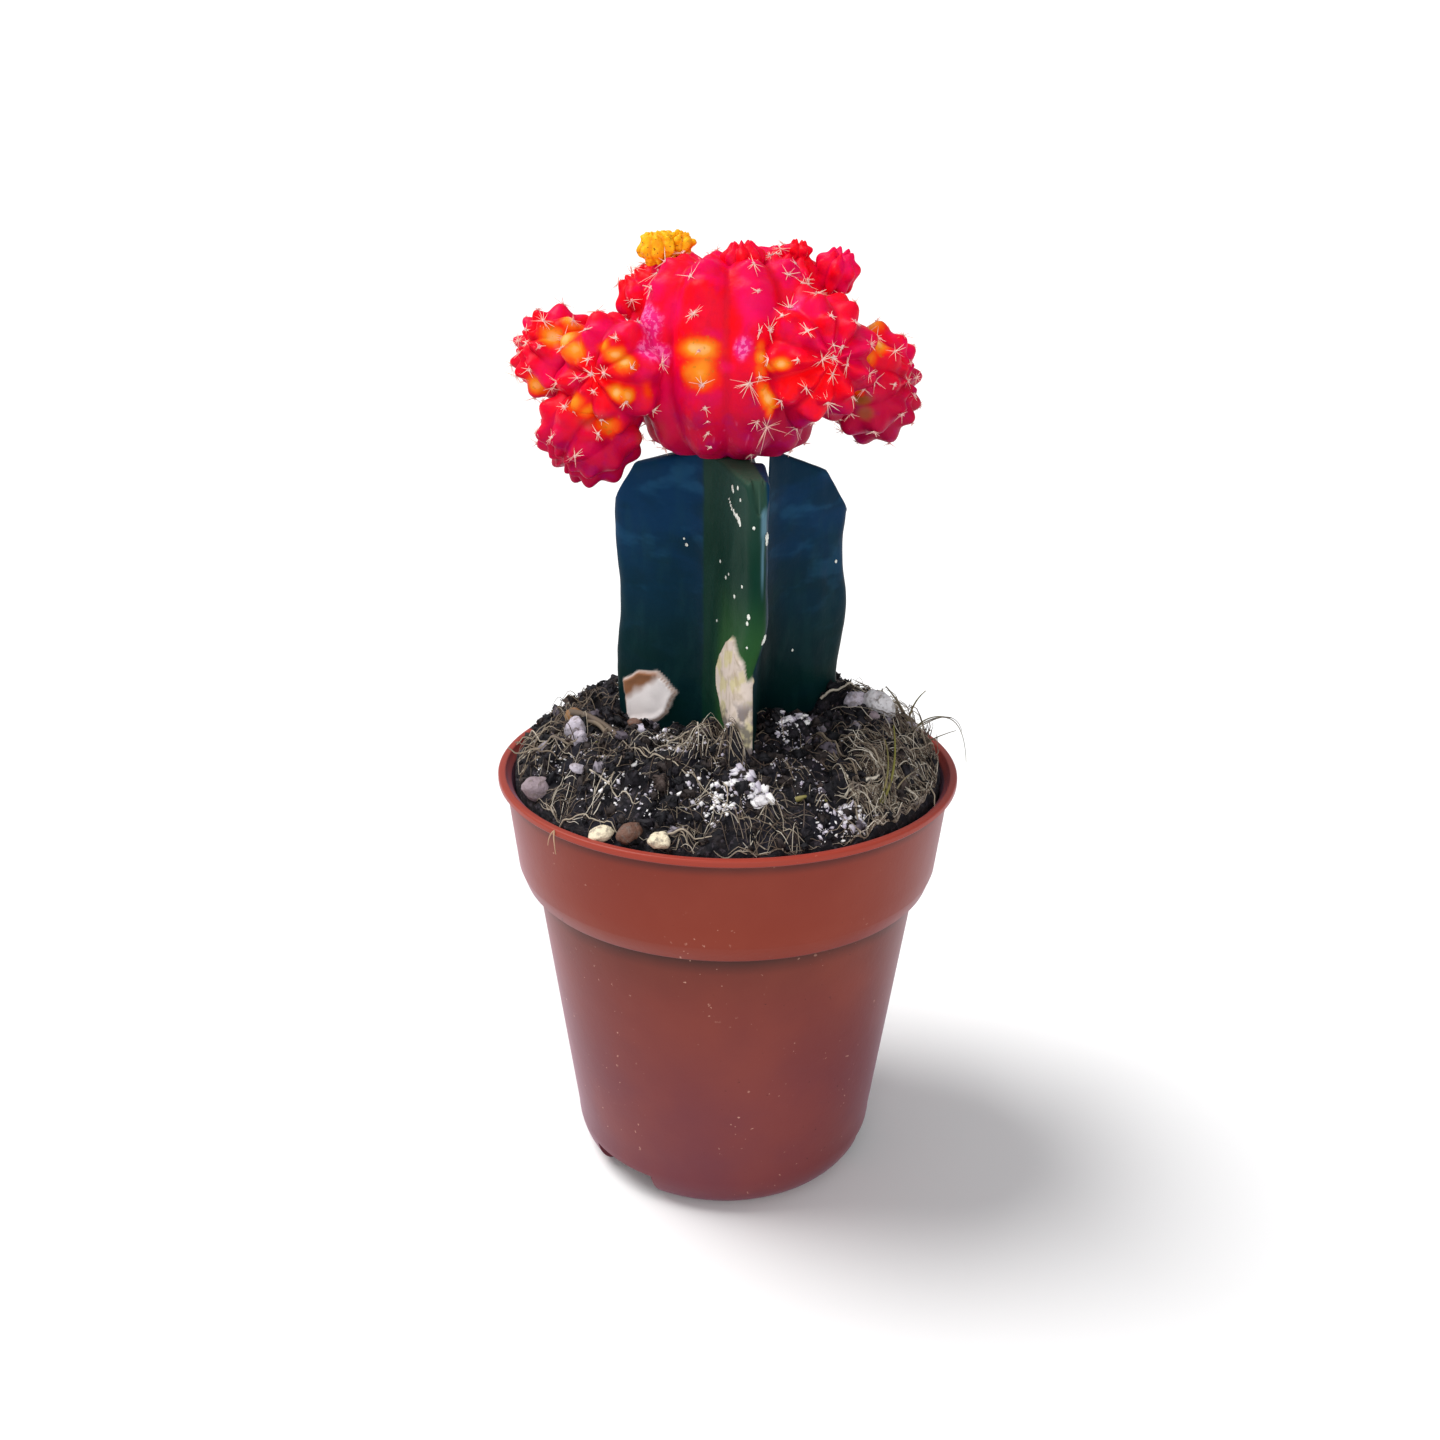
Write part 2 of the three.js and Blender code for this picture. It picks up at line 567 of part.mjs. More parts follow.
function insideAnother(point, self) {
  return HEADS.some((head) => {
    if (head === self) return false;
    const frame = headFrame(head);
    const offset = point.clone().sub(new THREE.Vector3(...head.at));
    const along = offset.dot(frame.axis) / (head.half + SPINE_ROOM.heads);
    const radial = offset.clone().addScaledVector(frame.axis, -offset.dot(frame.axis));
    return Math.hypot(along, radial.length() / (head.radius + SPINE_ROOM.heads)) < 1;
  });
}

// True where a spine's tip would come close to the stock or to the yellow offsets
function nearNeighbour(tip) {
  const fromStock = Math.hypot(tip.x - STOCK.axis[0], tip.y - STOCK.axis[1]);
  if (tip.z < STOCK.graftZ + SPINE_ROOM.stockTop && fromStock < SPINE_ROOM.stockReach) return true;
  return YELLOW_HEADS.some((head) => {
    const away = tip.distanceTo(new THREE.Vector3(...head.at));
    return away < head.radius + SPINE_ROOM.pups;
  });
}

// Three-sided needle from below the skin to its point
function spineSolid(root, direction, length) {
  const needle = new THREE.ConeGeometry(SPINE.root, length + SPINE.sunk, 3, 1);
  needle.translate(0, (length - SPINE.sunk) / 2, 0);
  needle.applyQuaternion(new THREE.Quaternion().setFromUnitVectors(new THREE.Vector3(0, 1, 0), direction));
  needle.translate(root.x, root.y, root.z);
  return solidOf(needle);
}

// Needles lean out of the woolly pads on the teeth, every tooth of every rib
function spinesOf(head, random) {
  const frame = headFrame(head);
  const centre = new THREE.Vector3(...head.at);
  const spines = [];
  for (let rib = 0; rib < head.ribs; rib += 1) {
    for (let level = 0; level < head.teeth - 1; level += 1) {
      const theta = radians(head.crest) + (2 * Math.PI * (rib + SPINE.besideCrest)) / head.ribs;
      const phi = toothAngle(head, level + 0.5 + SPINE.belowTooth);
      const root = skinPoint(head, frame, theta, phi);
      if (insideAnother(root, head) || root.z < STOCK.graftZ + 1) continue;
      if (root.z > SPINE_ROOM.highest) continue;
      const outward = root.clone().sub(centre).normalize();
      const lean = new THREE.Vector3(random() - 0.5, random() - 0.5, random() - 0.5);
      const direction = outward.clone().addScaledVector(lean, SPINE.lean).normalize();
      const length = THREE.MathUtils.lerp(SPINE.shortest, SPINE.longest, random());
      const tip = root.clone().addScaledVector(direction, length);
      if (nearNeighbour(tip) || insideAnother(tip, head)) continue;
      spines.push(spineSolid(root, direction, length));
    }
  }
  return spines;
}

function makeScion(random) {
  const flesh = HEADS.map((head) => headSolid(head));
  for (const head of HEADS.filter((each) => each.neck)) flesh.push(neckSolid(head));
  let scion = joined(flesh);
  const below = new THREE.BoxGeometry(SEAT.width, SEAT.width, SEAT.depth);
  below.translate(STOCK.axis[0], STOCK.axis[1] + SEAT.backward, STOCK.graftZ - SEAT.depth / 2);
  scion = scion.subtract(solidOf(below));
  for (const pup of YELLOW_HEADS) scion = scion.subtract(headSolid(pup, CLEARANCE));
  const spines = [];
  for (const head of HEADS.filter((each) => !SPINELESS.includes(each.name))) {
    spines.push(...spinesOf(head, random));
  }
  return mainBody(joined([scion, ...spines]));
}

function partMesh(name, solid, roughness) {
  const material = new THREE.MeshStandardMaterial({ color: COLOURS[name], roughness, metalness: 0 });
  const mesh = new THREE.Mesh(geometryOf(solid), material);
  mesh.name = name;
  return mesh;
}

const random = randomSource(7);
const soil = makeSoil(random);

const cactus = new THREE.Group();
cactus.add(partMesh('pot', makePot(), 0.4));
cactus.add(partMesh('soil', soil, 0.95));
cactus.add(partMesh('rootstock', makeStock(), 0.45));
cactus.add(partMesh('scion', makeScion(random), 0.4));
cactus.add(partMesh('yellow_pups', joined(YELLOW_HEADS.map((head) => headSolid(head))), 0.4));

export default cactus;
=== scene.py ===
import math
import random

import bmesh
import bpy
import numpy as np
from mathutils import Euler, Matrix, Vector, kdtree, noise
from mathutils.bvhtree import BVHTree


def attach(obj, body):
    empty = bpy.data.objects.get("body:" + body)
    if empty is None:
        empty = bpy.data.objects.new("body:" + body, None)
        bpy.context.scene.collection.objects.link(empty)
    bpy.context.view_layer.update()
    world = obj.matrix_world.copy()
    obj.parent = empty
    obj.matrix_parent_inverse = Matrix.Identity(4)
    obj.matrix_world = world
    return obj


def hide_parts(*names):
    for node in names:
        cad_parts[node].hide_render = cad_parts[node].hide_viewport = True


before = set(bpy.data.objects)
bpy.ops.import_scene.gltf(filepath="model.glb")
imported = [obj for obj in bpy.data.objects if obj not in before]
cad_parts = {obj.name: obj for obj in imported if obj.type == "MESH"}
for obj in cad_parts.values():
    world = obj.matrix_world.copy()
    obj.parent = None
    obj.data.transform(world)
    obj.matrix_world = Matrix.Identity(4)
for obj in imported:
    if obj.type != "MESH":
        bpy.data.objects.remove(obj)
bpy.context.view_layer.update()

# Potted moon cactus. Sizes are in millimetres, as in the part's source, and become metres when a
# mesh is made. The origin is on the ground on the pot's axis, +Z is up and -Y is the front.
MM = 0.001
SEED = 7

# Pot, a thin injection moulding
POT = dict(
    height=80.4, rim=42.5, lip_height=1.3, lip_width=1.5, lip_round=0.45,
    band_top=41.2, band_low=39.4, band_low_z=62.8, step=38.4, step_z=59.7,
    wall_top=36.2, wall_low=29.5, corner_z=8.5, foot=23.6, foot_inner=22, skirt=25,
    floor_under=6.4, floor_top=7.5, wall=1.1, floor_corner=1.2,
)
POT_SPOKES = 216
FOOT_NOTCH = dict(count=3, first=-132, width=14.5, height=6, depth=14, outward=3)
FLOOR_HOLE = dict(count=4, first=45, radius=2.6, ring=12)

# Soil that mounds up round the stock
SOIL = dict(
    mound_z=90.2, mound_radius=22, edge_z=80.6, edge_radius=39.4, edge_low_z=76.6, back_lift=1.6,
    crumb=0.6, rings=120, spokes=340, clearance=0.3, clod=1.5,
)
# Sizes of its large and small clods and of its swell
CLODS = dict(large=2.6, small=1.1, swell=5)
# Dips and rises: x, y, height and half width
SOIL_SWELLS = [(-17, 3, -5, 10), (-6, -2, -3, 7), (-1, -14, 1, 6), (11, -7, 1.2, 5)]
# Loose heaps of crumbs beside the front wing and a dip before the right one, in the same terms
SOIL_HEAPS = [(-5, -18.5, 2.4, 3.6), (-2.4, -17.6, 1.3, 2.8), (0.9, -21.6, 5.6, 2.1), (9.5, -11, 2.2, 3.6),
              (-12, -16, 1.2, 4.0), (14.5, 5.0, -5.5, 5.5)]

# Stock of three fleshy wings: azimuth and reach above and below the lean, wave of the edge and its
# phase, and where the top's fall and its chamfer end (reaches with their heights)
STOCK_AXIS = np.array([0.5, 1.0])
STOCK_FOOT = 58
GRAFT_Z = 138
EDGE_HALF = 1.5
WAVE_LENGTH = 27
LEAN = (101, 114)
CORE_RADIUS = 6
TOP_ROUND = 1.1
WINGS = [
    dict(azimuth=-80, low_azimuth=-84, reach=24.6, low_reach=21.8, wave=0.5, phase=0.2,
         inner=(22.2, 136.5), outer=(24.4, 131.5)),
    dict(azimuth=36, low_azimuth=36, reach=25.8, low_reach=25.8, wave=0.8, phase=2.1,
         inner=(19.3, 133), outer=(25.6, 125.3)),
    dict(azimuth=157, low_azimuth=157, reach=22.9, low_reach=22.9, wave=0.5, phase=4.4,
         inner=(18.6, 134.7), outer=(22.8, 128.8)),
]
VALLEYS = [(-14, 6.4), (93, 9.6), (205, 5.9)]
# Points on each stretch of a wing's outline: face, shoulder, the three of the edge, shoulder, face
LOOP_SAMPLES = (28, 14, 5, 4, 5, 14, 28)
# Sections worked out over its height, rings of its sides, drops of the rounded top edge as shares of
# its radius and how far they go inwards, and rings of the cap as shares of the outline
STOCK_MESH = dict(sections=160, rings=200, drops=(0.72, 0.47, 0.27, 0.12, 0.03, 0), inwards=0.8,
                  cap=(0.93, 0.85, 0.75, 0.62, 0.48, 0.34, 0.2, 0.08))
# Gap beside the front wing: its section at y 0, its ends, and how it falls and opens backwards
STOCK_NOTCH = dict(left=2.6, right=6.7, floor_x=6.5, floor_z=131.6, start=-9, end=30, fall=0.194,
                   open=0.028)

# Scion heads: centre, growth axis, azimuth of one crest, ribs, teeth from pole to pole, radius,
# half height, rib depth, tooth height, how boxy the outline is and how deep the tip is sunk
HEAD_FIELDS = ("name", "at", "axis", "crest", "ribs", "teeth", "radius", "half", "rib", "tooth",
               "boxy", "dimple")
HEADS = [dict(zip(HEAD_FIELDS, row)) for row in (
    ("crown", (-0.4, 2, 154.2), (0, 0, 1), -110, 10, 9, 16.2, 17.3, 1.4, 0.7, 0.5, 3.0),
    ("front_right", (12.6, -7.6, 154.6), (0.42, -0.9, 0.06), 8, 9, 6, 9.8, 8.6, 1.2, 1.3, 0.8, 0.8),
    ("far_right", (23.8, 1.5, 149.4), (0.88, -0.38, 0.16), 0, 8, 5, 9.0, 6.9, 1.0, 1.2, 0.8, 0.7),
    ("front_left", (-19.4, -6.4, 151.7), (-0.4, -0.91, 0.05), 12, 8, 5, 8.7, 7.8, 1.0, 1.2, 0.8, 0.7),
    ("upper_left", (-29.4, 1.5, 153.6), (-0.82, -0.45, 0.36), 0, 8, 5, 6.9, 6.6, 0.9, 1.2, 0.8, 0.5),
    ("low_left", (-23.8, -4.6, 141.8), (-0.62, -0.45, -0.64), 20, 8, 5, 7.9, 7.4, 1.0, 1.2, 0.8, 0.5),
    ("top_right", (7.8, 3.0, 164.4), (0.3, -0.2, 0.93), 30, 8, 4, 6.5, 6.6, 0.9, 0.7, 0.7, 0.8),
    ("back_right", (10.5, 15, 151.2), (0.5, 0.85, 0.1), 0, 8, 5, 8.8, 7.8, 1.0, 1.2, 0.8, 0.7),
    ("back_left", (-12.5, 13.5, 149.8), (-0.6, 0.78, -0.05), 15, 8, 5, 8.3, 7.4, 1.0, 1.2, 0.8, 0.7),
    ("top_left", (-14.2, 4, 162.8), (-0.6, 0.1, 0.8), 0, 7, 3, 4.8, 4.6, 0.7, 0.8, 0.75, 0.4),
    ("bud", (17.0, 0.5, 167.6), (0.25, -0.3, 0.92), 0, 7, 3, 3.2, 3.1, 0.5, 0.7, 0.7, 0.2),
    ("pup_right", (10.6, 1.5, 170.6), (0.1, -0.1, 0.99), 0, 6, 3, 1.9, 1.5, 0.3, 0.5, 0.8, 0.2),
    ("pup_top", (1.5, -4.8, 169.2), (-0.1, -0.1, 0.98), 0, 8, 3, 3.2, 2.9, 0.4, 0.5, 0.75, 0.3),
)]
YELLOW_HEADS = [dict(zip(HEAD_FIELDS, row)) for row in (
    ("big", (-12.4, 0.2, 171.2), (-0.1, -0.12, 0.98), 0, 8, 4, 3.0, 2.4, 0.35, 0.5, 0.75, 0.4),
    ("small", (-8.5, 0.6, 171.7), (0.1, -0.1, 0.98), 0, 6, 3, 1.8, 1.7, 0.25, 0.3, 0.75, 0.2),
)]
BUD_NECK = dict(start=(13, 0, 157.5), end=(17.0, 0.5, 167.6), radius=1.3)
TIP_CROWDING = 0.75
# Points round and along the shells of heads, and the radius below which a head is small
SHELL_MESH = dict(crown=(230, 150), offset=(128, 84), small=(64, 40), yellow=(96, 60))
SMALL_RADIUS = 4
# How far from the poles ribs reach full depth, and what rounds the valleys between them a little
RIB_DEPTH = 0.32
VALLEY_ROUND = 0.02
SPINELESS = ("bud", "pup_right", "pup_top")
SCION_SEAT = dict(width=30, depth=20, backward=4)

# Soft-edged patches of colour on the scion: centre, half width, half height and strength
YELLOW_PATCHES = [
    (-5.5, -13.4, 156.4, 4.4, 2.3, 1.0), (-5.2, -14.0, 152.9, 3.3, 3.4, 0.9),
    (-13.7, -12.5, 149.4, 1.6, 2.6, 0.4),
    (4.3, -13.4, 156.9, 1.0, 1.9, 0.8), (4.5, -14.1, 155.1, 1.3, 1.6, 0.9),
    (5.8, -15.4, 154.1, 1.9, 1.2, 0.9), (7.5, -16.6, 154.5, 2.2, 1.3, 1.0),
    (4.3, -14.0, 153.2, 1.3, 1.6, 0.9),
    (4.2, -13.6, 151.6, 1.1, 1.5, 0.8), (4.6, -13.4, 150.8, 1.1, 1.5, 0.8),
    (5.0, -13.2, 149.9, 1.4, 1.8, 0.9), (5.9, -13.2, 148.6, 1.8, 2.0, 1.0),
    (6.6, -12.9, 147.0, 1.4, 2.0, 0.9), (6.7, -12.5, 145.4, 0.9, 1.6, 0.8),
    (23.3, 0.6, 159.0, 2.6, 2.2, 0.9), (23.8, -4.3, 156.7, 2.3, 2.6, 1.0), (22.2, -6.1, 154.5, 1.7, 2.0, 0.8),
    (-26.1, -2.9, 159.6, 2.8, 2.4, 1.0), (-29.7, -4.0, 157.2, 2.8, 2.2, 1.0),
    (-27.2, -6.9, 157.0, 2.8, 2.6, 1.0), (-25.4, -11.0, 155.6, 2.6, 2.6, 0.9),
    (-32.8, -2.3, 149.1, 2.3, 2.1, 0.9),
    (-20.1, -13.5, 156.7, 1.7, 1.3, 0.8), (-18.8, -13.9, 155.5, 2.1, 1.6, 1.0),
    (-17.0, -14.8, 154.3, 2.3, 1.9, 1.0),
    (-18.4, -14.9, 149.5, 2.0, 1.8, 1.0), (-16.8, -15.0, 149.1, 2.0, 1.9, 0.9),
    (20.6, -7.9, 149.3, 1.4, 0.9, 0.7),
    (-25.4, -12.0, 147.6, 2.0, 1.9, 0.8), (-23.6, -11.5, 146.2, 2.1, 1.7, 0.8),
    (-20.3, -11.8, 144.0, 2.8, 2.3, 0.7),
]
PINK_PATCHES = [
    (-13.8, -6.0, 158.6, 4.6, 4.6, 1.0), (-13.4, -10.4, 154.9, 3.4, 3.0, 1.0),
    (-12.6, -4.5, 164.6, 4.4, 2.6, 0.9), (-12.2, -2.7, 168.6, 4.2, 2.0, 0.8),
    (-9.6, -10.2, 162.0, 2.4, 4.0, 0.4),
    (1.7, -13.2, 156.4, 1.7, 2.8, 1.0), (3.8, -12.1, 163.8, 3.4, 5.0, 0.8), (2.6, -9.7, 167.4, 2.8, 2.8, 0.8),
    (-1.2, -14.9, 153.6, 1.8, 1.4, 0.8), (10.4, -16.0, 147.0, 2.4, 1.6, 0.5),
    (10.1, -10.9, 163.0, 2.2, 1.8, 0.9),
    (12.4, -13.4, 162.8, 2.2, 1.8, 0.7), (-23.1, -12.6, 140.0, 2.4, 1.8, 0.4),
    (10.8, -4.4, 168.0, 2.4, 2.6, 0.7),
    (-30.5, -5.2, 151.6, 3.0, 2.4, 0.7), (31.0, -3.0, 156.0, 3.0, 3.0, 0.6),
    (17.0, 0.5, 168.0, 4.0, 3.6, 0.6),
]
SPECKLED_PATCHES = [
    (-13.8, -6.0, 158.4, 4.2, 4.4, 1.0), (-13.2, -10.2, 155.0, 3.0, 2.6, 1.0),
    (1.7, -13.2, 156.4, 1.5, 2.4, 1.0),
    (-13.3, -3.5, 164.3, 1.8, 1.3, 0.4), (9.4, -11.4, 162.6, 1.2, 1.0, 0.5),
]
WARM_PATCHES = [
    (10.0, -16.0, 152.0, 8.5, 6.0, 1.0), (14.0, -16.0, 148.5, 6.0, 4.5, 0.9),
    (-20.5, -12.5, 149.5, 5.0, 4.0, 0.9),
    (-25.5, -9.5, 145.5, 5.0, 3.5, 0.9), (27.0, -4.0, 152.0, 4.5, 4.0, 0.8),
    (0.0, -14.0, 160.5, 1.9, 8.0, 0.9),
    (-5.0, -14.2, 151.0, 4.2, 2.0, 0.6), (-9.0, -12.0, 158.0, 1.6, 6.0, 0.6),
]
# Olive-brown patches low on the offsets: their own colour, darker as painted shade under them
DULL_AND_SHADED_PATCHES = [
    (21.0, -7.6, 148.0, 2.2, 1.8, 1.0), (22.2, -6.4, 145.6, 1.7, 1.4, 0.8),
    (-22.0, -12.0, 145.0, 3.4, 2.0, 0.6),
    (-13.0, -9.0, 142.0, 3.0, 2.6, 0.5),
]
SCUFF_PATCHES = [(2.0, -11.0, 142.0, 8.0, 3.6, 0.7), (-6.0, -11.0, 143.5, 5.0, 2.5, 0.5)]

# Woolly pads on the front rib and the largest clusters beside it: place, pad size, how many
# spines and their length
CLUSTERS = [
    (-5.9, -4.9, 169.1, 0.8, 3, 1.2), (-5.8, -9.0, 166.2, 0.9, 7, 2.4), (-5.9, -12.3, 161.1, 1.5, 14, 1.9),
    (-5.3, -13.6, 156.0, 0.7, 2, 0.8), (-4.8, -13.8, 150.9, 1.3, 6, 2.2), (-4.3, -13.7, 147.2, 0.9, 4, 1.2),
    (-3.9, -11.9, 143.1, 0.8, 4, 1.4), (-3.5, -11.1, 140.6, 0.7, 3, 1.0), (-3.9, -13.0, 145.0, 0.5, 2, 0.8),
    (2.8, -13.4, 151.4, 1.4, 12, 3.2), (6.4, -12.3, 143.4, 1.4, 12, 4.0), (5.0, -12.6, 159.4, 1.2, 8, 2.2),
    (9.0, -11.4, 163.4, 1.2, 10, 2.6), (8.3, -6.2, 166.8, 1.1, 8, 1.6), (6.0, -4.0, 170.0, 1.2, 9, 1.7),
    (15.9, -14.7, 155.3, 1.2, 8, 1.6), (-22.5, -12.8, 152.2, 1.3, 10, 1.8), (-13.5, -3.0, 168.0, 1.1, 7, 3.0),
]

# Pads on the other teeth: place along the tooth, size near the tip and elsewhere, how it varies,
# number of spines, their length, distance from other heads and height above the graft
AREOLE = dict(place=0.62, tip_size=0.7, size=0.85, vary=(0.7, 1.2), spines=(4, 8), length=(0.9, 2.1),
              margin=0.5, above=0.8)
# Needles of a pad: radius, how far they lean outwards, share of their full length, and droop
WOOL_HAIRS = 16
NEEDLES = dict(
    wool=dict(radius=0.13, outward=(0.3, 1.2), length=(0.35, 0.6), droop=(0, 0, 0)),
    spines=dict(radius=0.065, outward=(0.15, 0.75), length=(0.55, 1.15), droop=(0, 0, -0.15)),
)

# Cork on the stock, as outlines of reach along the wing and height, and small pale scabs with
# their radius
CORK_FRONT = [(17.2, 109.4), (12.6, 105.4), (10.4, 102), (10.5, 98.5), (12.8, 96.6), (15.2, 94.4), (17.2, 92),
              (18.4, 84), (26, 84), (26, 101), (24.6, 103.4), (23.0, 106.6), (21.0, 108.4), (19.0, 109.6)]
CORK_LEFT = [(21.9, 93.6), (18, 95.6), (14, 96.4), (12, 94.9), (10.4, 93), (12, 88.6), (15, 86.3),
             (20.4, 85.4), (20.8, 90.8)]
SCABS = [
    (0.0, -14.3, 134.5, 0.5), (0.3, -14.8, 134.0, 0.35), (1.1, -17.3, 134.8, 0.35), (1.6, -18.6, 133.4, 0.28),
    (-0.6, -12.8, 132.4, 0.2), (-0.4, -13.2, 131.8, 0.22), (-0.25, -13.6, 131.5, 0.24),
    (-0.1, -14.0, 131.2, 0.26),
    (0.15, -14.6, 130.95, 0.28), (0.4, -15.2, 130.7, 0.3), (0.65, -15.9, 130.5, 0.34),
    (1.15, -17.2, 130.1, 0.48),
    (0.9, -16.6, 130.3, 0.36), (1.4, -17.9, 129.9, 0.62), (1.7, -18.6, 129.4, 0.5),
    (3.8, -22.5, 129.5, 0.26), (-2.4, -7.9, 120.3, 0.3), (-1.0, -11.7, 118.7, 0.3),
    (-0.3, -13.5, 119.5, 0.25),
    (2.0, -19.6, 119.3, 0.3), (0.9, -16.8, 116.6, 0.34), (3.2, -22.8, 114.9, 0.45), (3.0, -22.6, 113.9, 0.35),
    (-2.9, -6.9, 109.5, 0.24), (3.3, -22.4, 109.7, 0.2), (-8.2, 0.5, 121.2, 0.3), (-8.4, 0.6, 122.1, 0.2),
    (19.8, 12.8, 115.6, 0.32), (5.9, -21.6, 128.1, 0.75), (5.9, -21.8, 127.1, 0.55), (5.4, -22.1, 110.7, 0.8),
    (5.2, -22.1, 111.5, 0.4), (-19.4, 9.9, 111.3, 0.25), (12.0, 4.6, 100.4, 0.25),
]

# What lies in the soil in the photograph: x, y, radius, flatness and kind
GRAINS = [
    (-20.6, -33.2, 2.0, 0.6, "cream"), (-10.8, -36.6, 1.9, 0.75, "cream"), (-33.1, -17.9, 2.3, 0.9, "stone"),
    (-27.6, -7.5, 1.7, 1.3, "lilac"), (-26.6, -9.6, 1.3, 1.1, "lilac"), (-25.8, -19.8, 1.4, 0.6, "lilac"),
    (-15.9, -34.3, 2.0, 0.8, "brown"), (28.0, 3.4, 2.7, 1.2, "white"), (23.8, 4.4, 1.9, 0.9, "lilac"),
    (34.4, 4.4, 1.5, 0.6, "lilac"), (-28.6, 1.6, 1.7, 0.9, "ochre"), (-24.2, -6.4, 1.4, 0.8, "bark"),
    (-12, 29, 1.7, 0.8, "cream"), (12, 32, 1.5, 0.8, "white"), (2.6, -28.8, 1.1, 0.8, "white"),
    (5.6, -31.6, 1.2, 0.9, "white"), (-17.5, 4.0, 1.6, 0.8, "brown"), (26.6, -1.6, 1.2, 0.8, "stone"),
]
GRAIN_COLOURS = dict(cream="#e6d9bd", white="#dddadd", lilac="#bcb4c0", stone="#93838a", brown="#6a4a3c",
                     ochre="#8a6238", bark="#6a543c")
CRUMBS = dict(count=2300, smallest=0.25, largest=1.5)
# Groups of tiny white crystals: x, y, spread, count and size
SPECKS = [
    (2.2, -27.4, 2.0, 90, 1.1), (5.4, -30.6, 1.8, 90, 1.2), (1.0, -30.5, 3.4, 90, 0.6),
    (-1.5, -32.5, 2.6, 60, 0.6),
    (9.8, -10.5, 2.2, 130, 0.85), (12.6, -8.0, 2.0, 100, 0.8), (10.9, -13.6, 2.6, 80, 0.5),
    (20.8, -29.4, 2.4, 80, 0.85), (17.7, -32.6, 3.4, 90, 0.6), (24.5, -28.5, 3.0, 50, 0.5),
    (-4.5, -28.7, 4.0, 80, 0.5),
    (-19.1, -23.2, 4.5, 90, 0.5), (-9.0, -17.0, 4.5, 120, 0.5), (-3.0, -22.0, 3.4, 90, 0.5),
    (12.0, -24.0, 5.0, 90, 0.34), (-14.0, -30.0, 5.0, 80, 0.34), (27, -12, 8, 110, 0.28),
    (-29, -12, 6, 80, 0.3), (0, 0, 37, 480, 0.28), (15.5, -27.5, 3.0, 40, 0.4),
]

STRAND_POINTS = dict(root=18, tuft=9, blade=24)
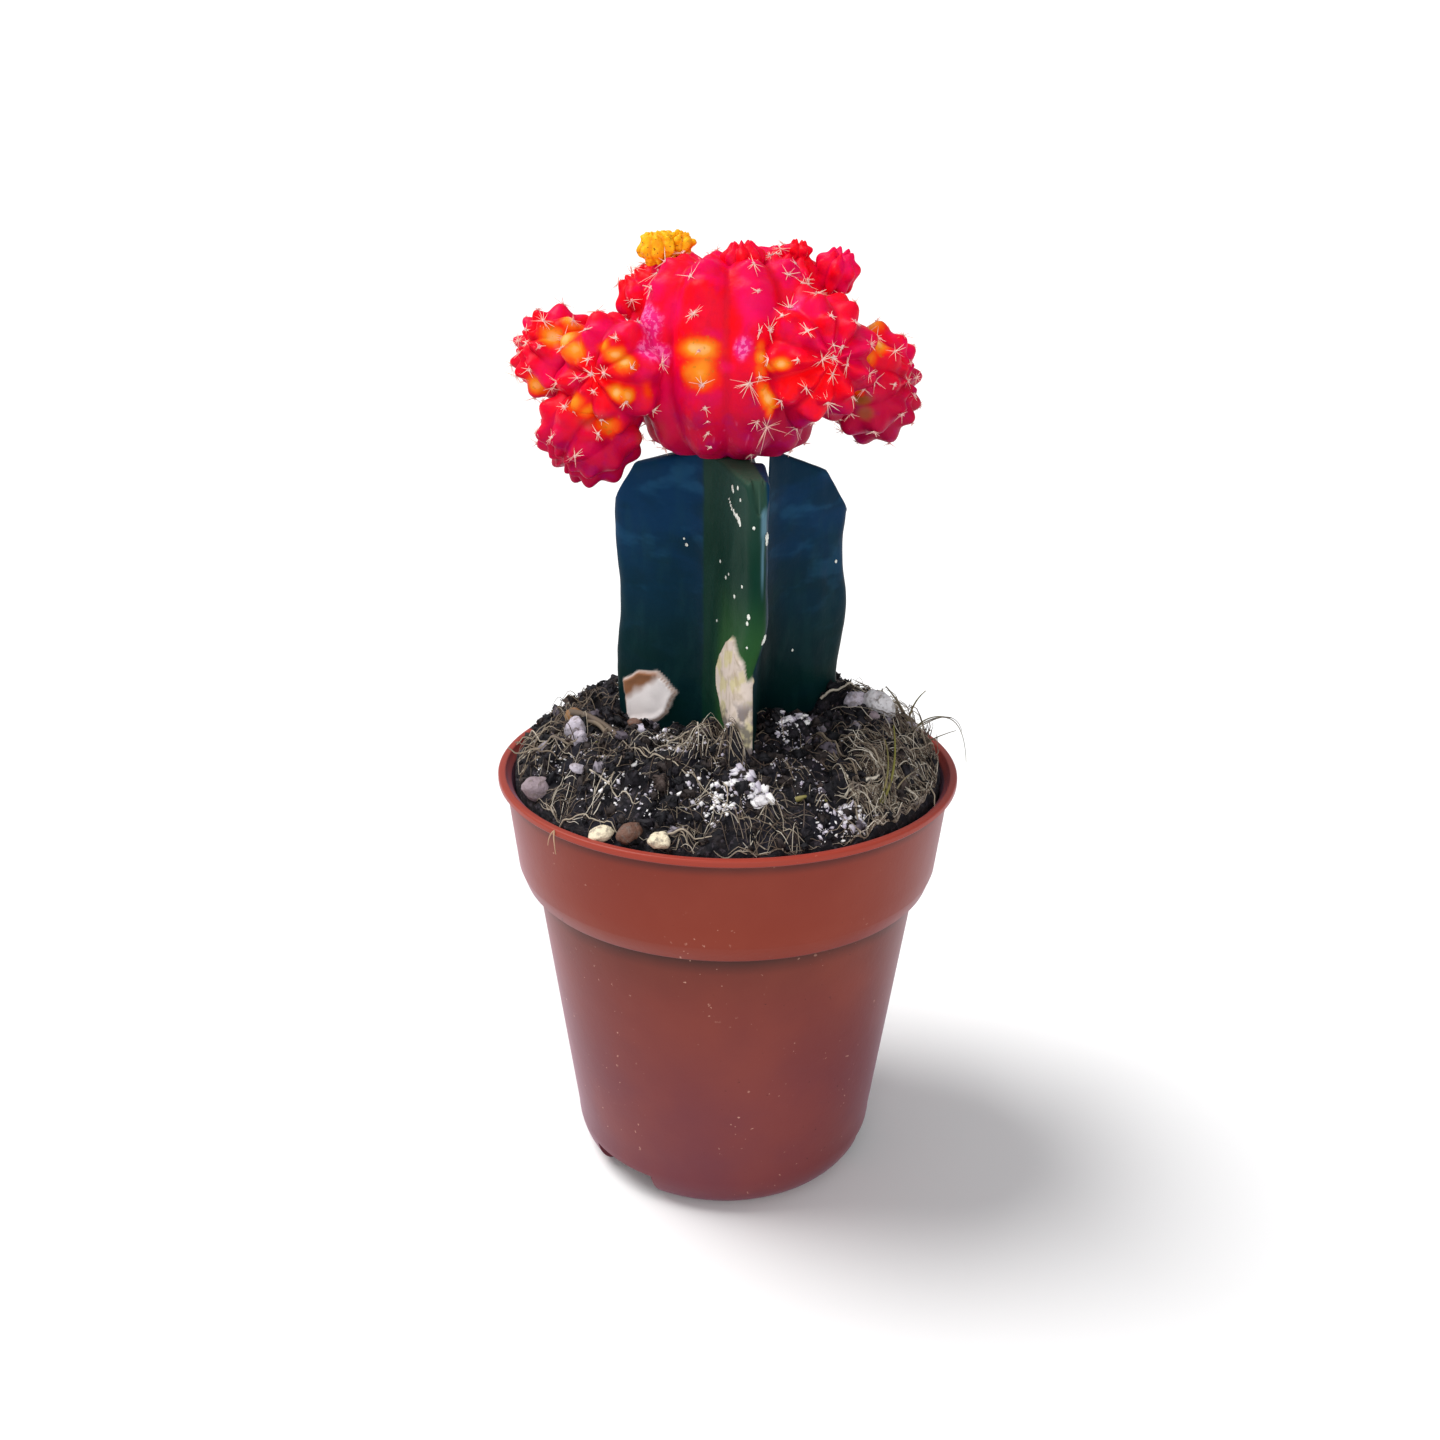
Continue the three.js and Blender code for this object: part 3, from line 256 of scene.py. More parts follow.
# Strands over the soil: points x, y and lift above it, then radius and tone from dark to pale
ROOTS = [
    ([(-17.8, -18.0, 0.6), (-10.6, -22.2, 1.4), (-2.0, -31.5, 0.3)], 0.2, 0.8),
    ([(-20.6, -26.1, 0.2), (-17.2, -23.3, 1.6), (-18.3, -17.6, 0.6)], 0.17, 0.72),
    ([(-10.5, -18.0, 0.6), (-7.4, -16.4, 3.4), (-3.6, -17.6, 0.8)], 0.2, 0.82),
    ([(-9.5, -20.0, 0.4), (-6.4, -18.8, 2.8), (-2.6, -20.4, 0.5)], 0.18, 0.88),
    ([(-8.0, -17.0, 0.6), (-7.0, -20.0, 3.0), (-9.4, -22.2, 0.3)], 0.16, 0.78),
    ([(-6.0, -16.6, 0.8), (-4.2, -19.0, 3.0), (-5.4, -22.4, 0.3)], 0.18, 0.9),
    ([(-3.4, -17.8, 0.6), (-2.4, -20.0, 2.2), (-0.6, -22.8, 0.2)], 0.17, 0.74),
    ([(-12.4, -16.4, 0.4), (-9.4, -14.6, 2.4), (-6.6, -16.8, 0.5)], 0.16, 0.7),
    ([(-14.6, -19.4, 0.3), (-11.4, -21.6, 1.6), (-8.2, -20.0, 0.6)], 0.15, 0.84),
    ([(-22.6, -18.6, 0.3), (-18.6, -19.6, 1.8), (-14.4, -16.4, 0.4)], 0.15, 0.7),
    ([(-1.0, -27.4, 0.3), (1.4, -31.6, 1.8), (-1.4, -35.0, 0.3)], 0.17, 0.8),
    ([(24.0, -14.6, 1.4), (28.6, -20.4, 2.4), (27.4, -27.4, 0.4)], 0.24, 0.72),
    ([(20.4, -13.0, 0.8), (26.0, -13.6, 2.6), (31.4, -17.8, 0.6)], 0.2, 0.62),
    ([(27.6, -11.8, 0.8), (24.6, -18.2, 2.2), (24.4, -25.4, 0.4)], 0.18, 0.55),
    ([(30.6, -15.2, 0.8), (27.2, -21.0, 2.0), (22.4, -24.6, 0.4)], 0.16, 0.78),
    ([(-28.1, -27.8, 0.5), (-23.6, -28.6, 1.4), (-17.6, -34.0, 0.6)], 0.2, 0.8),
    ([(-24.0, -21.0, 0.4), (-19.6, -27.0, 1.0), (-14.4, -31.0, 0.5)], 0.22, 0.86),
    ([(-9.6, -36.4, 1.0), (-6.0, -36.6, 1.6), (-2.4, -37.4, 0.8)], 0.26, 0.8),
    ([(15.8, -12.5, 1.4), (19.0, -17.4, 1.8), (22.1, -23.4, 0.8)], 0.3, 0.6),
    ([(16.2, -15.8, 0.8), (18.4, -20.0, 1.2), (21.4, -25.0, 0.4)], 0.24, 0.5),
    ([(18.8, -21.2, 0.9), (19.6, -22.6, 1.0), (20.6, -24.2, 0.8)], 0.7, 1.0),
    ([(23.4, -23.0, 1.0), (24.8, -21.6, 1.2), (26.0, -20.2, 1.1)], 0.45, 1.0),
    ([(17.6, 8.6, 1.6), (21.4, 10.6, 2.0), (27.4, 12.6, 1.4)], 0.36, 0.9),
    ([(-29.4, 2.0, 1.2), (-25.0, -5.0, 3.0), (-19.4, -13.4, 0.8)], 0.95, 0.4),
    ([(-27.0, -3.0, 1.6), (-23.6, -7.4, 2.8), (-21.6, -12.4, 0.6)], 0.6, 0.52),
    ([(-36.6, -2.0, 3.0), (-34.0, -9.0, 2.6), (-28.0, -14.0, 0.6)], 0.16, 0.85),
    ([(-38.4, -6.0, 4.6), (-33.0, -8.0, 3.4), (-26.0, -7.0, 1.0)], 0.15, 0.7),
    ([(-26.6, -12.6, 1.0), (-33.2, -11.6, 2.6), (-39.6, -9.6, 7.6)], 0.26, 0.62),
    ([(-30.2, -14.0, 1.0), (-34.6, -10.0, 3.6), (-38.6, -7.0, 5.6)], 0.22, 0.5),
    ([(29.4, -12.6, 1.0), (33.4, -9.0, 3.0), (37.4, -5.0, 4.0)], 0.22, 0.72),
    ([(34.6, -13.0, 1.0), (37.0, -16.6, 2.2), (36.0, -20.6, 1.0)], 0.2, 0.76),
    ([(21.2, -27.2, 0.6), (22.0, -30.0, 1.0), (22.0, -32.6, 1.4)], 0.2, 0.8),
]
TUFTS = [
    dict(at=(27, -18), spread=7.5, count=230, length=(4, 11), rise=2.2, thick=0.09, tones=(0.15, 1.0)),
    dict(at=(27.5, -17.5), spread=1.5, count=70, length=(5, 10), rise=2.6, thick=0.12, tones=(0.3, 1.0)),
    dict(at=(21.5, -25.0), spread=1.2, count=30, length=(4, 7), rise=2.0, thick=0.12, tones=(0.4, 0.9)),
    dict(at=(34, -17), spread=5.0, count=90, length=(4, 9), rise=2.4, thick=0.09, tones=(0.15, 0.95)),
    dict(at=(26, -29), spread=5.0, count=90, length=(3, 8), rise=1.8, thick=0.09, tones=(0.15, 0.9)),
    dict(at=(32, -6), spread=6.0, count=150, length=(5, 11), rise=3.0, thick=0.1, tones=(0.2, 0.95)),
    dict(at=(37.5, -4), spread=1.4, count=30, length=(4, 8), rise=4.5, thick=0.12, tones=(0.2, 0.8)),
    dict(at=(31, 12), spread=6.0, count=90, length=(5, 11), rise=3.6, thick=0.12, tones=(0.3, 1.0)),
    dict(at=(37, 2), spread=3.0, count=30, length=(5, 10), rise=6.0, thick=0.12, tones=(0.2, 0.75)),
    dict(at=(-4.5, -17.5), spread=3.8, count=90, length=(3, 7), rise=2.4, thick=0.1, tones=(0.1, 0.95)),
    dict(at=(0.4, -21.6), spread=3.0, count=50, length=(3, 6), rise=1.6, thick=0.1, tones=(0.1, 0.85)),
    dict(at=(-26, -25), spread=6.5, count=60, length=(3, 9), rise=1.6, thick=0.09, tones=(0.2, 0.95)),
    dict(at=(-31, -6), spread=6.5, count=100, length=(4, 10), rise=3.0, thick=0.13, tones=(0.1, 0.8)),
    dict(at=(-18, -16), spread=7.0, count=60, length=(3, 9), rise=1.8, thick=0.08, tones=(0.2, 0.85)),
    dict(at=(7, -36), spread=5.5, count=60, length=(3, 8), rise=1.6, thick=0.09, tones=(0.2, 0.9)),
    dict(at=(-7, -35), spread=5.0, count=40, length=(3, 8), rise=1.4, thick=0.09, tones=(0.2, 0.9)),
    dict(at=(-28, 8), spread=7.0, count=60, length=(3, 8), rise=2.8, thick=0.12, tones=(0.1, 0.6)),
    dict(at=(0, -24), spread=14, count=110, length=(2, 6), rise=1.4, thick=0.08, tones=(0.1, 0.8)),
    dict(at=(0, 0), spread=38, count=360, length=(2, 8), rise=1.6, thick=0.1, tones=(0.05, 0.8)),
]
# Grass blades as start, handle and end, then radius and tone from brown to olive
BLADES = [
    ((33.5, 1.5, 85.5), (43.2, 0.4, 94.8), (44.2, -2.0, 81.4), 0.15, 0.4),
    ((34.0, 1.5, 85.5), (41.8, 1.4, 92.2), (43.4, 0.0, 86.6), 0.12, 0.3),
    ((34.6, 8.0, 85.0), (33.0, 8.0, 89.0), (29.8, 8.0, 92.6), 0.34, 0.45),
    ((34.4, 8.0, 85.0), (34.8, 8.0, 89.5), (37.4, 8.0, 91.8), 0.26, 0.6),
    ((35.2, 6.0, 84.5), (37.4, 4.0, 89.0), (41.4, 2.0, 88.6), 0.18, 0.7),
    ((36.0, 0.0, 84.0), (38.6, -3.0, 87.0), (41.4, -5.0, 88.8), 0.16, 0.5),
    ((26.2, -24.0, 82.5), (29.6, -20.0, 86.4), (29.0, -13.0, 92.6), 0.34, 0.9),
    ((25.6, -24.6, 82.5), (28.6, -20.6, 87.2), (27.2, -16.0, 91.2), 0.22, 0.75),
    ((28.4, -22.0, 83.0), (30.0, -20.0, 86.0), (32.6, -20.6, 87.4), 0.18, 0.4),
    ((24.4, -26.0, 82.5), (23.4, -24.0, 86.0), (22.6, -20.0, 88.6), 0.18, 0.3),
    ((11.4, -29.2, 85.4), (14.0, -29.4, 86.6), (16.6, -29.2, 85.2), 0.5, 0.95),
    ((-26.0, -12.6, 86.4), (-24.2, -13.0, 88.8), (-22.4, -14.6, 89.6), 0.26, 0.9),
    ((-28.6, -31.2, 80.0), (-28.9, -32.0, 80.0), (-28.4, -32.5, 76.4), 0.2, 0.05),
    ((-28.6, -31.4, 80.2), (-29.6, -31.4, 79.6), (-29.8, -31.6, 77.6), 0.16, 0.05),
]

# Camera as fitted to the pot's ellipses: place, turn and focal length for the 1440 frame
FRAME_PIXELS = 1440
FOCAL_PIXELS = 1385
SENSOR = 36
CAMERA_AT = (0, -240, 178.6)
CAMERA_PITCH = math.radians(20.6)
CAMERA_ROLL = math.radians(0.565)
CAMERA_YAW = math.radians(-0.36)


def srgb(code):
    """Linear colour of an sRGB hex value."""
    channels = [int(code[i:i + 2], 16) / 255 for i in (1, 3, 5)]
    linear = [c / 12.92 if c <= 0.04045 else ((c + 0.055) / 1.055) ** 2.4 for c in channels]
    return (*linear, 1.0)


def add_node(tree, kind, inputs=None, stops=(), **settings):
    """A node with its settings; each input takes a value or another node's output, and stops give a
    colour ramp its places from 0 to 1 with their sRGB codes."""
    node = tree.nodes.new(kind)
    for name, value in settings.items():
        setattr(node, name, value)
    if stops:
        elements = node.color_ramp.elements
        for _ in stops[2:]:
            elements.new(0.5)
        for element, (place, code) in zip(elements, stops):
            element.position = place
            element.color = srgb(code)
    for socket, value in (inputs or {}).items():
        if isinstance(value, bpy.types.NodeSocket):
            tree.links.new(value, node.inputs[socket])
        else:
            node.inputs[socket].default_value = value
    return node


def smooth(value, low, high):
    t = np.clip((value - low) / (high - low), 0, 1)
    return t * t * (3 - 2 * t)


def unit(vector):
    vector = np.asarray(vector, float)
    return vector / np.linalg.norm(vector)


def mesh_object(name, points, faces):
    """Smooth mesh object from points in millimetres."""
    mesh = bpy.data.meshes.new(name)
    mesh.from_pydata((np.asarray(points, float) * MM).tolist(), [], faces)
    mesh.polygons.foreach_set("use_smooth", np.ones(len(mesh.polygons), bool))
    mesh.update()
    obj = bpy.data.objects.new(name, mesh)
    bpy.context.scene.collection.objects.link(obj)
    return obj


def shell_faces(levels, spokes):
    """Faces of a closed shell of rings, whose last two points are its low and high pole."""
    ring = np.arange(spokes)
    after = (ring + 1) % spokes
    start = np.arange(levels - 1)[:, None] * spokes
    quads = np.stack([start + ring, start + after, start + spokes + after, start + spokes + ring], -1)
    low, high = levels * spokes, levels * spokes + 1
    last = (levels - 1) * spokes
    faces = quads.reshape(-1, 4).tolist()
    faces += [(low, b, a) for a, b in zip(ring.tolist(), after.tolist())]
    faces += [(high, last + a, last + b) for a, b in zip(ring.tolist(), after.tolist())]
    return faces


def closed_shell(name, rings, low, high):
    """Closed mesh from rings that run upwards and turn left, shape (levels, spokes, 3)."""
    levels, spokes = rings.shape[:2]
    points = np.vstack([rings.reshape(-1, 3), [low], [high]])
    return mesh_object(name, points, shell_faces(levels, spokes))


def plain_piece(source, name):
    """Plain mesh object of what a source object's modifiers make; the source goes."""
    bpy.context.view_layer.update()
    graph = bpy.context.evaluated_depsgraph_get()
    mesh = bpy.data.meshes.new_from_object(source.evaluated_get(graph), depsgraph=graph)
    bpy.data.objects.remove(source)
    mesh.name = name
    piece = bpy.data.objects.new(name, mesh)
    bpy.context.scene.collection.objects.link(piece)
    return piece


def carve(target, tool, operation):
    """Adds a boolean of a tool object, which is removed once the target is made plain."""
    modifier = target.modifiers.new(tool.name, "BOOLEAN")
    modifier.operation = operation
    modifier.solver = "MANIFOLD"
    modifier.object = tool
    return tool


def box_tool(name, size, centre, turn=0.0):
    """Box of full sizes, turned about Z and then placed."""
    square = ((-0.5, -0.5), (0.5, -0.5), (0.5, 0.5), (-0.5, 0.5))
    corners = np.array([(x, y, z) for z in (-0.5, 0.5) for x, y in square]) * size
    cos, sin = math.cos(turn), math.sin(turn)
    corners = corners @ np.array([(cos, sin, 0), (-sin, cos, 0), (0, 0, 1)]) + np.asarray(centre, float)
    faces = [(3, 2, 1, 0), (4, 5, 6, 7), (0, 1, 5, 4), (1, 2, 6, 5), (2, 3, 7, 6), (3, 0, 4, 7)]
    return mesh_object(name, corners, faces)


def set_attribute(obj, name, values, kind="FLOAT"):
    layer = obj.data.attributes.new(name, kind, "POINT")
    field = "vector" if kind == "FLOAT_VECTOR" else "value"
    layer.data.foreach_set(field, np.asarray(values, np.float32).ravel())


def points_of(obj):
    """Vertices of a mesh object in millimetres."""
    flat = np.empty(len(obj.data.vertices) * 3)
    obj.data.vertices.foreach_get("co", flat)
    return flat.reshape(-1, 3) / MM


def move_points(obj, points):
    obj.data.vertices.foreach_set("co", (np.asarray(points) * MM).ravel())
    obj.data.update()


def normals_of(obj):
    flat = np.empty(len(obj.data.vertices) * 3)
    obj.data.vertices.foreach_get("normal", flat)
    return flat.reshape(-1, 3)


def noise_at(points, scale, seed=0.0):
    """Soft noise from about -1 to 1 at points in millimetres, with blobs of the given size."""
    shift = Vector((seed, 1.7 * seed, -0.6 * seed))
    return np.array([noise.noise(Vector(p) / scale + shift) for p in points])


def finish_piece(piece, material=None, replaces=None):
    """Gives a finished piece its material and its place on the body."""
    if material is not None:
        piece.data.materials.clear()
        piece.data.materials.append(material)
    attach(piece, "root")
    if replaces:
        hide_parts(replaces)


# Geometry trees

def new_tree(name, **inputs):
    """Geometry tree with a geometry in and out and named inputs: (socket kind, default)."""
    tree = bpy.data.node_groups.new(name, "GeometryNodeTree")
    tree.interface.new_socket("Geometry", in_out="INPUT", socket_type="NodeSocketGeometry")
    for label, (kind, default) in inputs.items():
        socket = tree.interface.new_socket(label, in_out="INPUT", socket_type=kind)
        socket.default_value = default
    tree.interface.new_socket("Geometry", in_out="OUTPUT", socket_type="NodeSocketGeometry")
    return tree, add_node(tree, "NodeGroupInput"), add_node(tree, "NodeGroupOutput")


def grown(source, tree, name, **values):
    """Runs a geometry tree on a source object and returns the plain mesh."""
    modifier = source.modifiers.new(name, "NODES")
    modifier.node_group = tree
    for item in tree.interface.items_tree:
        if item.item_type == "SOCKET" and item.in_out == "INPUT" and item.name in values:
            modifier[item.identifier] = values[item.name]
    return plain_piece(source, name)


def repeat_tree(name, material, shape, **inputs):
    """Sets one small shape on every point, turned to the point's aim and stretched by it; each
    copy keeps a random tone for its colour."""
    tree, start, end = new_tree(name, Seed=("NodeSocketInt", 1), **inputs)
    aim = add_node(tree, "GeometryNodeInputNamedAttribute", {"Name": "aim"}, data_type="FLOAT_VECTOR")
    stretch = add_node(tree, "GeometryNodeInputNamedAttribute", {"Name": "stretch"}, data_type="FLOAT_VECTOR")
    turn = add_node(tree, "FunctionNodeAlignRotationToVector", {"Vector": aim.outputs[0]}, axis="Z")
    roll = add_node(tree, "FunctionNodeRandomValue", {2: 0.0, 3: math.tau, "Seed": start.outputs["Seed"]})
    about = add_node(tree, "FunctionNodeAxisAngleToRotation", {"Axis": (0, 0, 1), "Angle": roll.outputs[1]})
    rolled = add_node(tree, "FunctionNodeRotateRotation", {0: turn.outputs[0], 1: about.outputs[0]},
                      rotation_space="LOCAL")
    placed = add_node(tree, "GeometryNodeInstanceOnPoints", {
        "Points": start.outputs["Geometry"], "Instance": shape(tree, start),
        "Rotation": rolled.outputs[0], "Scale": stretch.outputs[0]})
    tone = add_node(tree, "FunctionNodeRandomValue", {2: 0.0, 3: 1.0, "Seed": SEED + 1})
    toned = add_node(tree, "GeometryNodeStoreNamedAttribute", {
        "Geometry": placed.outputs[0], "Name": "tone", "Value": tone.outputs[1]}, domain="INSTANCE")
    real = add_node(tree, "GeometryNodeRealizeInstances", {0: toned.outputs[0]})
    soft = add_node(tree, "GeometryNodeSetShadeSmooth", {"Geometry": real.outputs[0]})
    coated = add_node(tree, "GeometryNodeSetMaterial", {"Geometry": soft.outputs[0], "Material": material})
    tree.links.new(coated.outputs[0], end.inputs[0])
    return tree


def lump_shape(tree, start):
    """A rough ball of radius one, dented by noise."""
    ball = add_node(tree, "GeometryNodeMeshIcoSphere", {
        "Radius": 1.0, "Subdivisions": start.outputs["Detail"]})
    cloud = add_node(tree, "ShaderNodeTexNoise", {"Scale": 1.9, "Detail": 2.0})
    dent = add_node(tree, "ShaderNodeVectorMath", {0: cloud.outputs["Color"], 1: (0.5, 0.5, 0.5)},
                    operation="SUBTRACT")
    wide = add_node(tree, "ShaderNodeVectorMath", {0: dent.outputs[0], "Scale": start.outputs["Roughness"]},
                    operation="SCALE")
    return add_node(tree, "GeometryNodeSetPosition", {
        "Geometry": ball.outputs[0], "Offset": wide.outputs[0]}).outputs[0]


def needle_shape(tree, start):
    """A slightly bent needle of length one and radius one, drawn out to a point."""
    middle = add_node(tree, "ShaderNodeCombineXYZ", {0: start.outputs["Bend"], 2: 0.5})
    path = add_node(tree, "GeometryNodeCurveQuadraticBezier", {
        "Resolution": start.outputs["Steps"], "Start": (0, 0, -0.1), "Middle": middle.outputs[0],
        "End": (0, 0, 1)})
    along = add_node(tree, "GeometryNodeSplineParameter")
    taper = add_node(tree, "ShaderNodeMapRange", {0: along.outputs[0], 3: 1.0, 4: 0.2})
    section = add_node(tree, "GeometryNodeCurvePrimitiveCircle", {
        "Resolution": start.outputs["Sides"], "Radius": 1.0})
    needle = add_node(tree, "GeometryNodeCurveToMesh", {
        "Curve": path.outputs[0], "Profile Curve": section.outputs[0], "Scale": taper.outputs[0],
        "Fill Caps": True})
    return needle.outputs[0]


def strand_tree(name, material):
    """Turns curves into round strands; radius and tone follow each point."""
    tree, start, end = new_tree(name, Sides=("NodeSocketInt", 5))
    tone = add_node(tree, "GeometryNodeInputCurveTilt")
    thick = add_node(tree, "GeometryNodeInputRadius")
    toned = add_node(tree, "GeometryNodeStoreNamedAttribute", {
        "Geometry": start.outputs["Geometry"], "Name": "tone", "Value": tone.outputs[0]})
    section = add_node(tree, "GeometryNodeCurvePrimitiveCircle", {
        "Resolution": start.outputs["Sides"], "Radius": MM})
    tube = add_node(tree, "GeometryNodeCurveToMesh", {
        "Curve": toned.outputs[0], "Profile Curve": section.outputs[0], "Scale": thick.outputs[0],
        "Fill Caps": True})
    soft = add_node(tree, "GeometryNodeSetShadeSmooth", {"Geometry": tube.outputs[0]})
    coated = add_node(tree, "GeometryNodeSetMaterial", {"Geometry": soft.outputs[0], "Material": material})
    tree.links.new(coated.outputs[0], end.inputs[0])
    return tree


def repeated(name, tree, places, aims, stretches, **values):
    """A piece with one copy of the tree's shape at every place."""
    source = mesh_object(name + "_places", places, [])
    set_attribute(source, "aim", aims, "FLOAT_VECTOR")
    set_attribute(source, "stretch", np.asarray(stretches) * MM, "FLOAT_VECTOR")
    return grown(source, tree, name, **values)


def curve_object(name, strands):
    """Poly curves in millimetres; each strand has points, their radii and one tone."""
    data = bpy.data.curves.new(name, "CURVE")
    data.dimensions = "3D"
    for points, radii, tone in strands:
        spline = data.splines.new("POLY")
        spline.points.add(len(points) - 1)
        for point, place, radius in zip(spline.points, points, radii):
            point.co = (*(np.asarray(place) * MM), 1)
            point.radius = radius
            point.tilt = tone
    obj = bpy.data.objects.new(name, data)
    bpy.context.scene.collection.objects.link(obj)
    return obj


# Material trees

def new_material(name):
    material = bpy.data.materials.new(name)
    material.use_nodes = True
    tree = material.node_tree
    shader = tree.nodes["Principled BSDF"]
    return material, tree, shader



def mottle(tree, size, low, high, detail=3.0, stretch=(1, 1, 1), seed=0.0):
    """Mask from 0 to 1 out of a noise with blobs of a size in millimetres."""
    place = add_node(tree, "ShaderNodeTexCoord").outputs["Object"]
    moved = add_node(tree, "ShaderNodeMapping", {"Vector": place, "Location": (seed,) * 3, "Scale": stretch})
    cloud = add_node(tree, "ShaderNodeTexNoise", {
        "Vector": moved.outputs[0], "Scale": 1 / (size * MM), "Detail": detail})
    edge = add_node(tree, "ShaderNodeMapRange", {0: cloud.outputs[0], 1: low, 2: high},
                    interpolation_type="SMOOTHSTEP")
    return edge.outputs[0]



def painted(tree, base, layers):
    """Colours laid over a base one after another: strength, masks that multiply, and colour."""
    colour = base
    for strength, masks, over in layers:
        cover = strength
        for mask in masks:
            cover = add_node(tree, "ShaderNodeMath", {0: mask, 1: cover}, operation="MULTIPLY").outputs[0]
        mix = add_node(tree, "ShaderNodeMix", {0: cover, 6: colour, 7: over}, data_type="RGBA")
        colour = mix.outputs[2]
    return colour


def coat(material_parts, colour, layers=(), **values):
    """Material whose shader has this colour, its own values and a chain of bumps, each a height
    field and its depth in mm."""
    material, tree, shader = material_parts
    tree.links.new(colour, shader.inputs["Base Color"])
    for name, value in values.items():
        shader.inputs[name.replace("_", " ")].default_value = value
    normal = None
    for height, depth in layers:
        inputs = {"Height": height, "Distance": depth * MM, "Strength": 1.0}
        if normal is not None:
            inputs["Normal"] = normal
        normal = add_node(tree, "ShaderNodeBump", inputs).outputs[0]
    if normal is not None:
        tree.links.new(normal, shader.inputs["Normal"])
    return material


# Pot

def pot_profile():
    """Radius and height of the pot's section, from under the floor, round the lip, to the floor."""
    arc = np.linspace(0, math.pi / 2, 14)
    reach = POT["wall_low"] - POT["foot"]
    wall = [(POT["foot"] + reach * math.sin(a), POT["corner_z"] * (1 - math.cos(a))) for a in arc]
    lip_z = POT["height"] - POT["lip_height"]
    turn = POT["lip_round"]
    rim, inner_rim = POT["rim"], POT["rim"] - POT["lip_width"]
    crest = POT["height"] - turn
    lip = [(rim - turn + turn * math.sin(a), crest + turn * math.cos(a)) for a in arc[::-2]]
    lip += [(inner_rim + turn - turn * math.sin(a), crest + turn * math.cos(a)) for a in arc[::2]]
    outer = [(POT["skirt"], POT["floor_under"]), (POT["foot_inner"], 0), *wall,
             (POT["wall_top"], POT["step_z"]), (POT["step"] - 0.3, POT["step_z"]),
             (POT["step"], POT["step_z"] + 0.3), (POT["band_low"] - 0.1, POT["band_low_z"] - 0.3),
             (POT["band_low"], POT["band_low_z"]), (POT["band_top"], lip_z), (rim - 0.25, lip_z),
             (rim, lip_z + 0.25)]
    thick = POT["wall"]
    inner = [(POT["band_top"] - thick, lip_z), (POT["band_low"] - thick, POT["band_low_z"] + thick),
             (POT["step"] - thick, POT["step_z"] + thick), (POT["wall_top"] - thick, POT["step_z"] + thick)]
    inner += [(r - thick, z) for r, z in wall[::-1] if z > POT["floor_top"] + 0.4]
    inner.append((inner[-1][0] - POT["floor_corner"], POT["floor_top"]))
    return outer + lip + inner


def fine_profile(profile, step):
    """The same section with more points on its long stretches."""
    result = []
    for start, end in zip(profile, profile[1:]):
        count = max(1, round(math.dist(start, end) / step))
        result += [tuple(np.array(start) + (np.array(end) - start) * i / count) for i in range(count)]
    return result + [profile[-1]]


def lathe(name, profile, low_z, high_z, spokes):
    turn = np.linspace(0, 2 * math.pi, spokes, endpoint=False)
    radius = np.array([r for r, _ in profile])[:, None]
    height = np.array([z for _, z in profile])[:, None]
    rings = np.stack([radius * np.cos(turn), radius * np.sin(turn), height + 0 * turn], -1)
    return closed_shell(name, rings, (0, 0, low_z), (0, 0, high_z))


def make_pot():
    profile = fine_profile(pot_profile(), 3.0)
    pot = lathe("pot_blank", profile, POT["floor_under"], POT["floor_top"], POT_SPOKES)
    tools = []
    for i in range(FOOT_NOTCH["count"]):
        azimuth = math.radians(FOOT_NOTCH["first"] + 360 * i / FOOT_NOTCH["count"])
        middle = POT["foot"] + FOOT_NOTCH["outward"]
        centre = (middle * math.cos(azimuth), middle * math.sin(azimuth), 0)
        size = (FOOT_NOTCH["depth"], FOOT_NOTCH["width"], 2 * FOOT_NOTCH["height"])
        tools.append(carve(pot, box_tool(f"notch_{i}", size, centre, azimuth), "DIFFERENCE"))
    for i in range(FLOOR_HOLE["count"]):
        azimuth = math.radians(FLOOR_HOLE["first"] + 360 * i / FLOOR_HOLE["count"])
        low, high = POT["floor_under"] - 2, POT["floor_top"] + 2
        hole = lathe(f"hole_{i}", [(FLOOR_HOLE["radius"], low), (FLOOR_HOLE["radius"], high)], low, high, 40)
        along = np.array([math.cos(azimuth), math.sin(azimuth), 0])
        move_points(hole, points_of(hole) + FLOOR_HOLE["ring"] * along)
        tools.append(carve(pot, hole, "DIFFERENCE"))
    piece = plain_piece(pot, "pot_moulding")
    for tool in tools:
        bpy.data.objects.remove(tool)
    piece.data.set_sharp_from_angle(angle=math.radians(35))
    return piece


# Soil

def soil_height(x, y):
    r = np.hypot(x, y)
    spread = np.maximum(r - SOIL["mound_radius"], 0) / (SOIL["edge_radius"] - SOIL["mound_radius"])
    base = SOIL["mound_z"] + (SOIL["edge_z"] - SOIL["mound_z"]) * spread ** 2
    lumps = (np.sin(0.61 * x + 1.3) * np.cos(0.53 * y - 0.4) + 0.7 * np.sin(1.17 * x - 0.9 * y + 2)
             + 0.5 * np.cos(1.7 * y + 0.8 * x))
    swell = sum(height * np.exp(-((x - a) ** 2 + (y - b) ** 2) / width ** 2)
                for a, b, height, width in SOIL_SWELLS)
    return base + SOIL["back_lift"] * y / SOIL["edge_radius"] + swell + SOIL["crumb"] * lumps


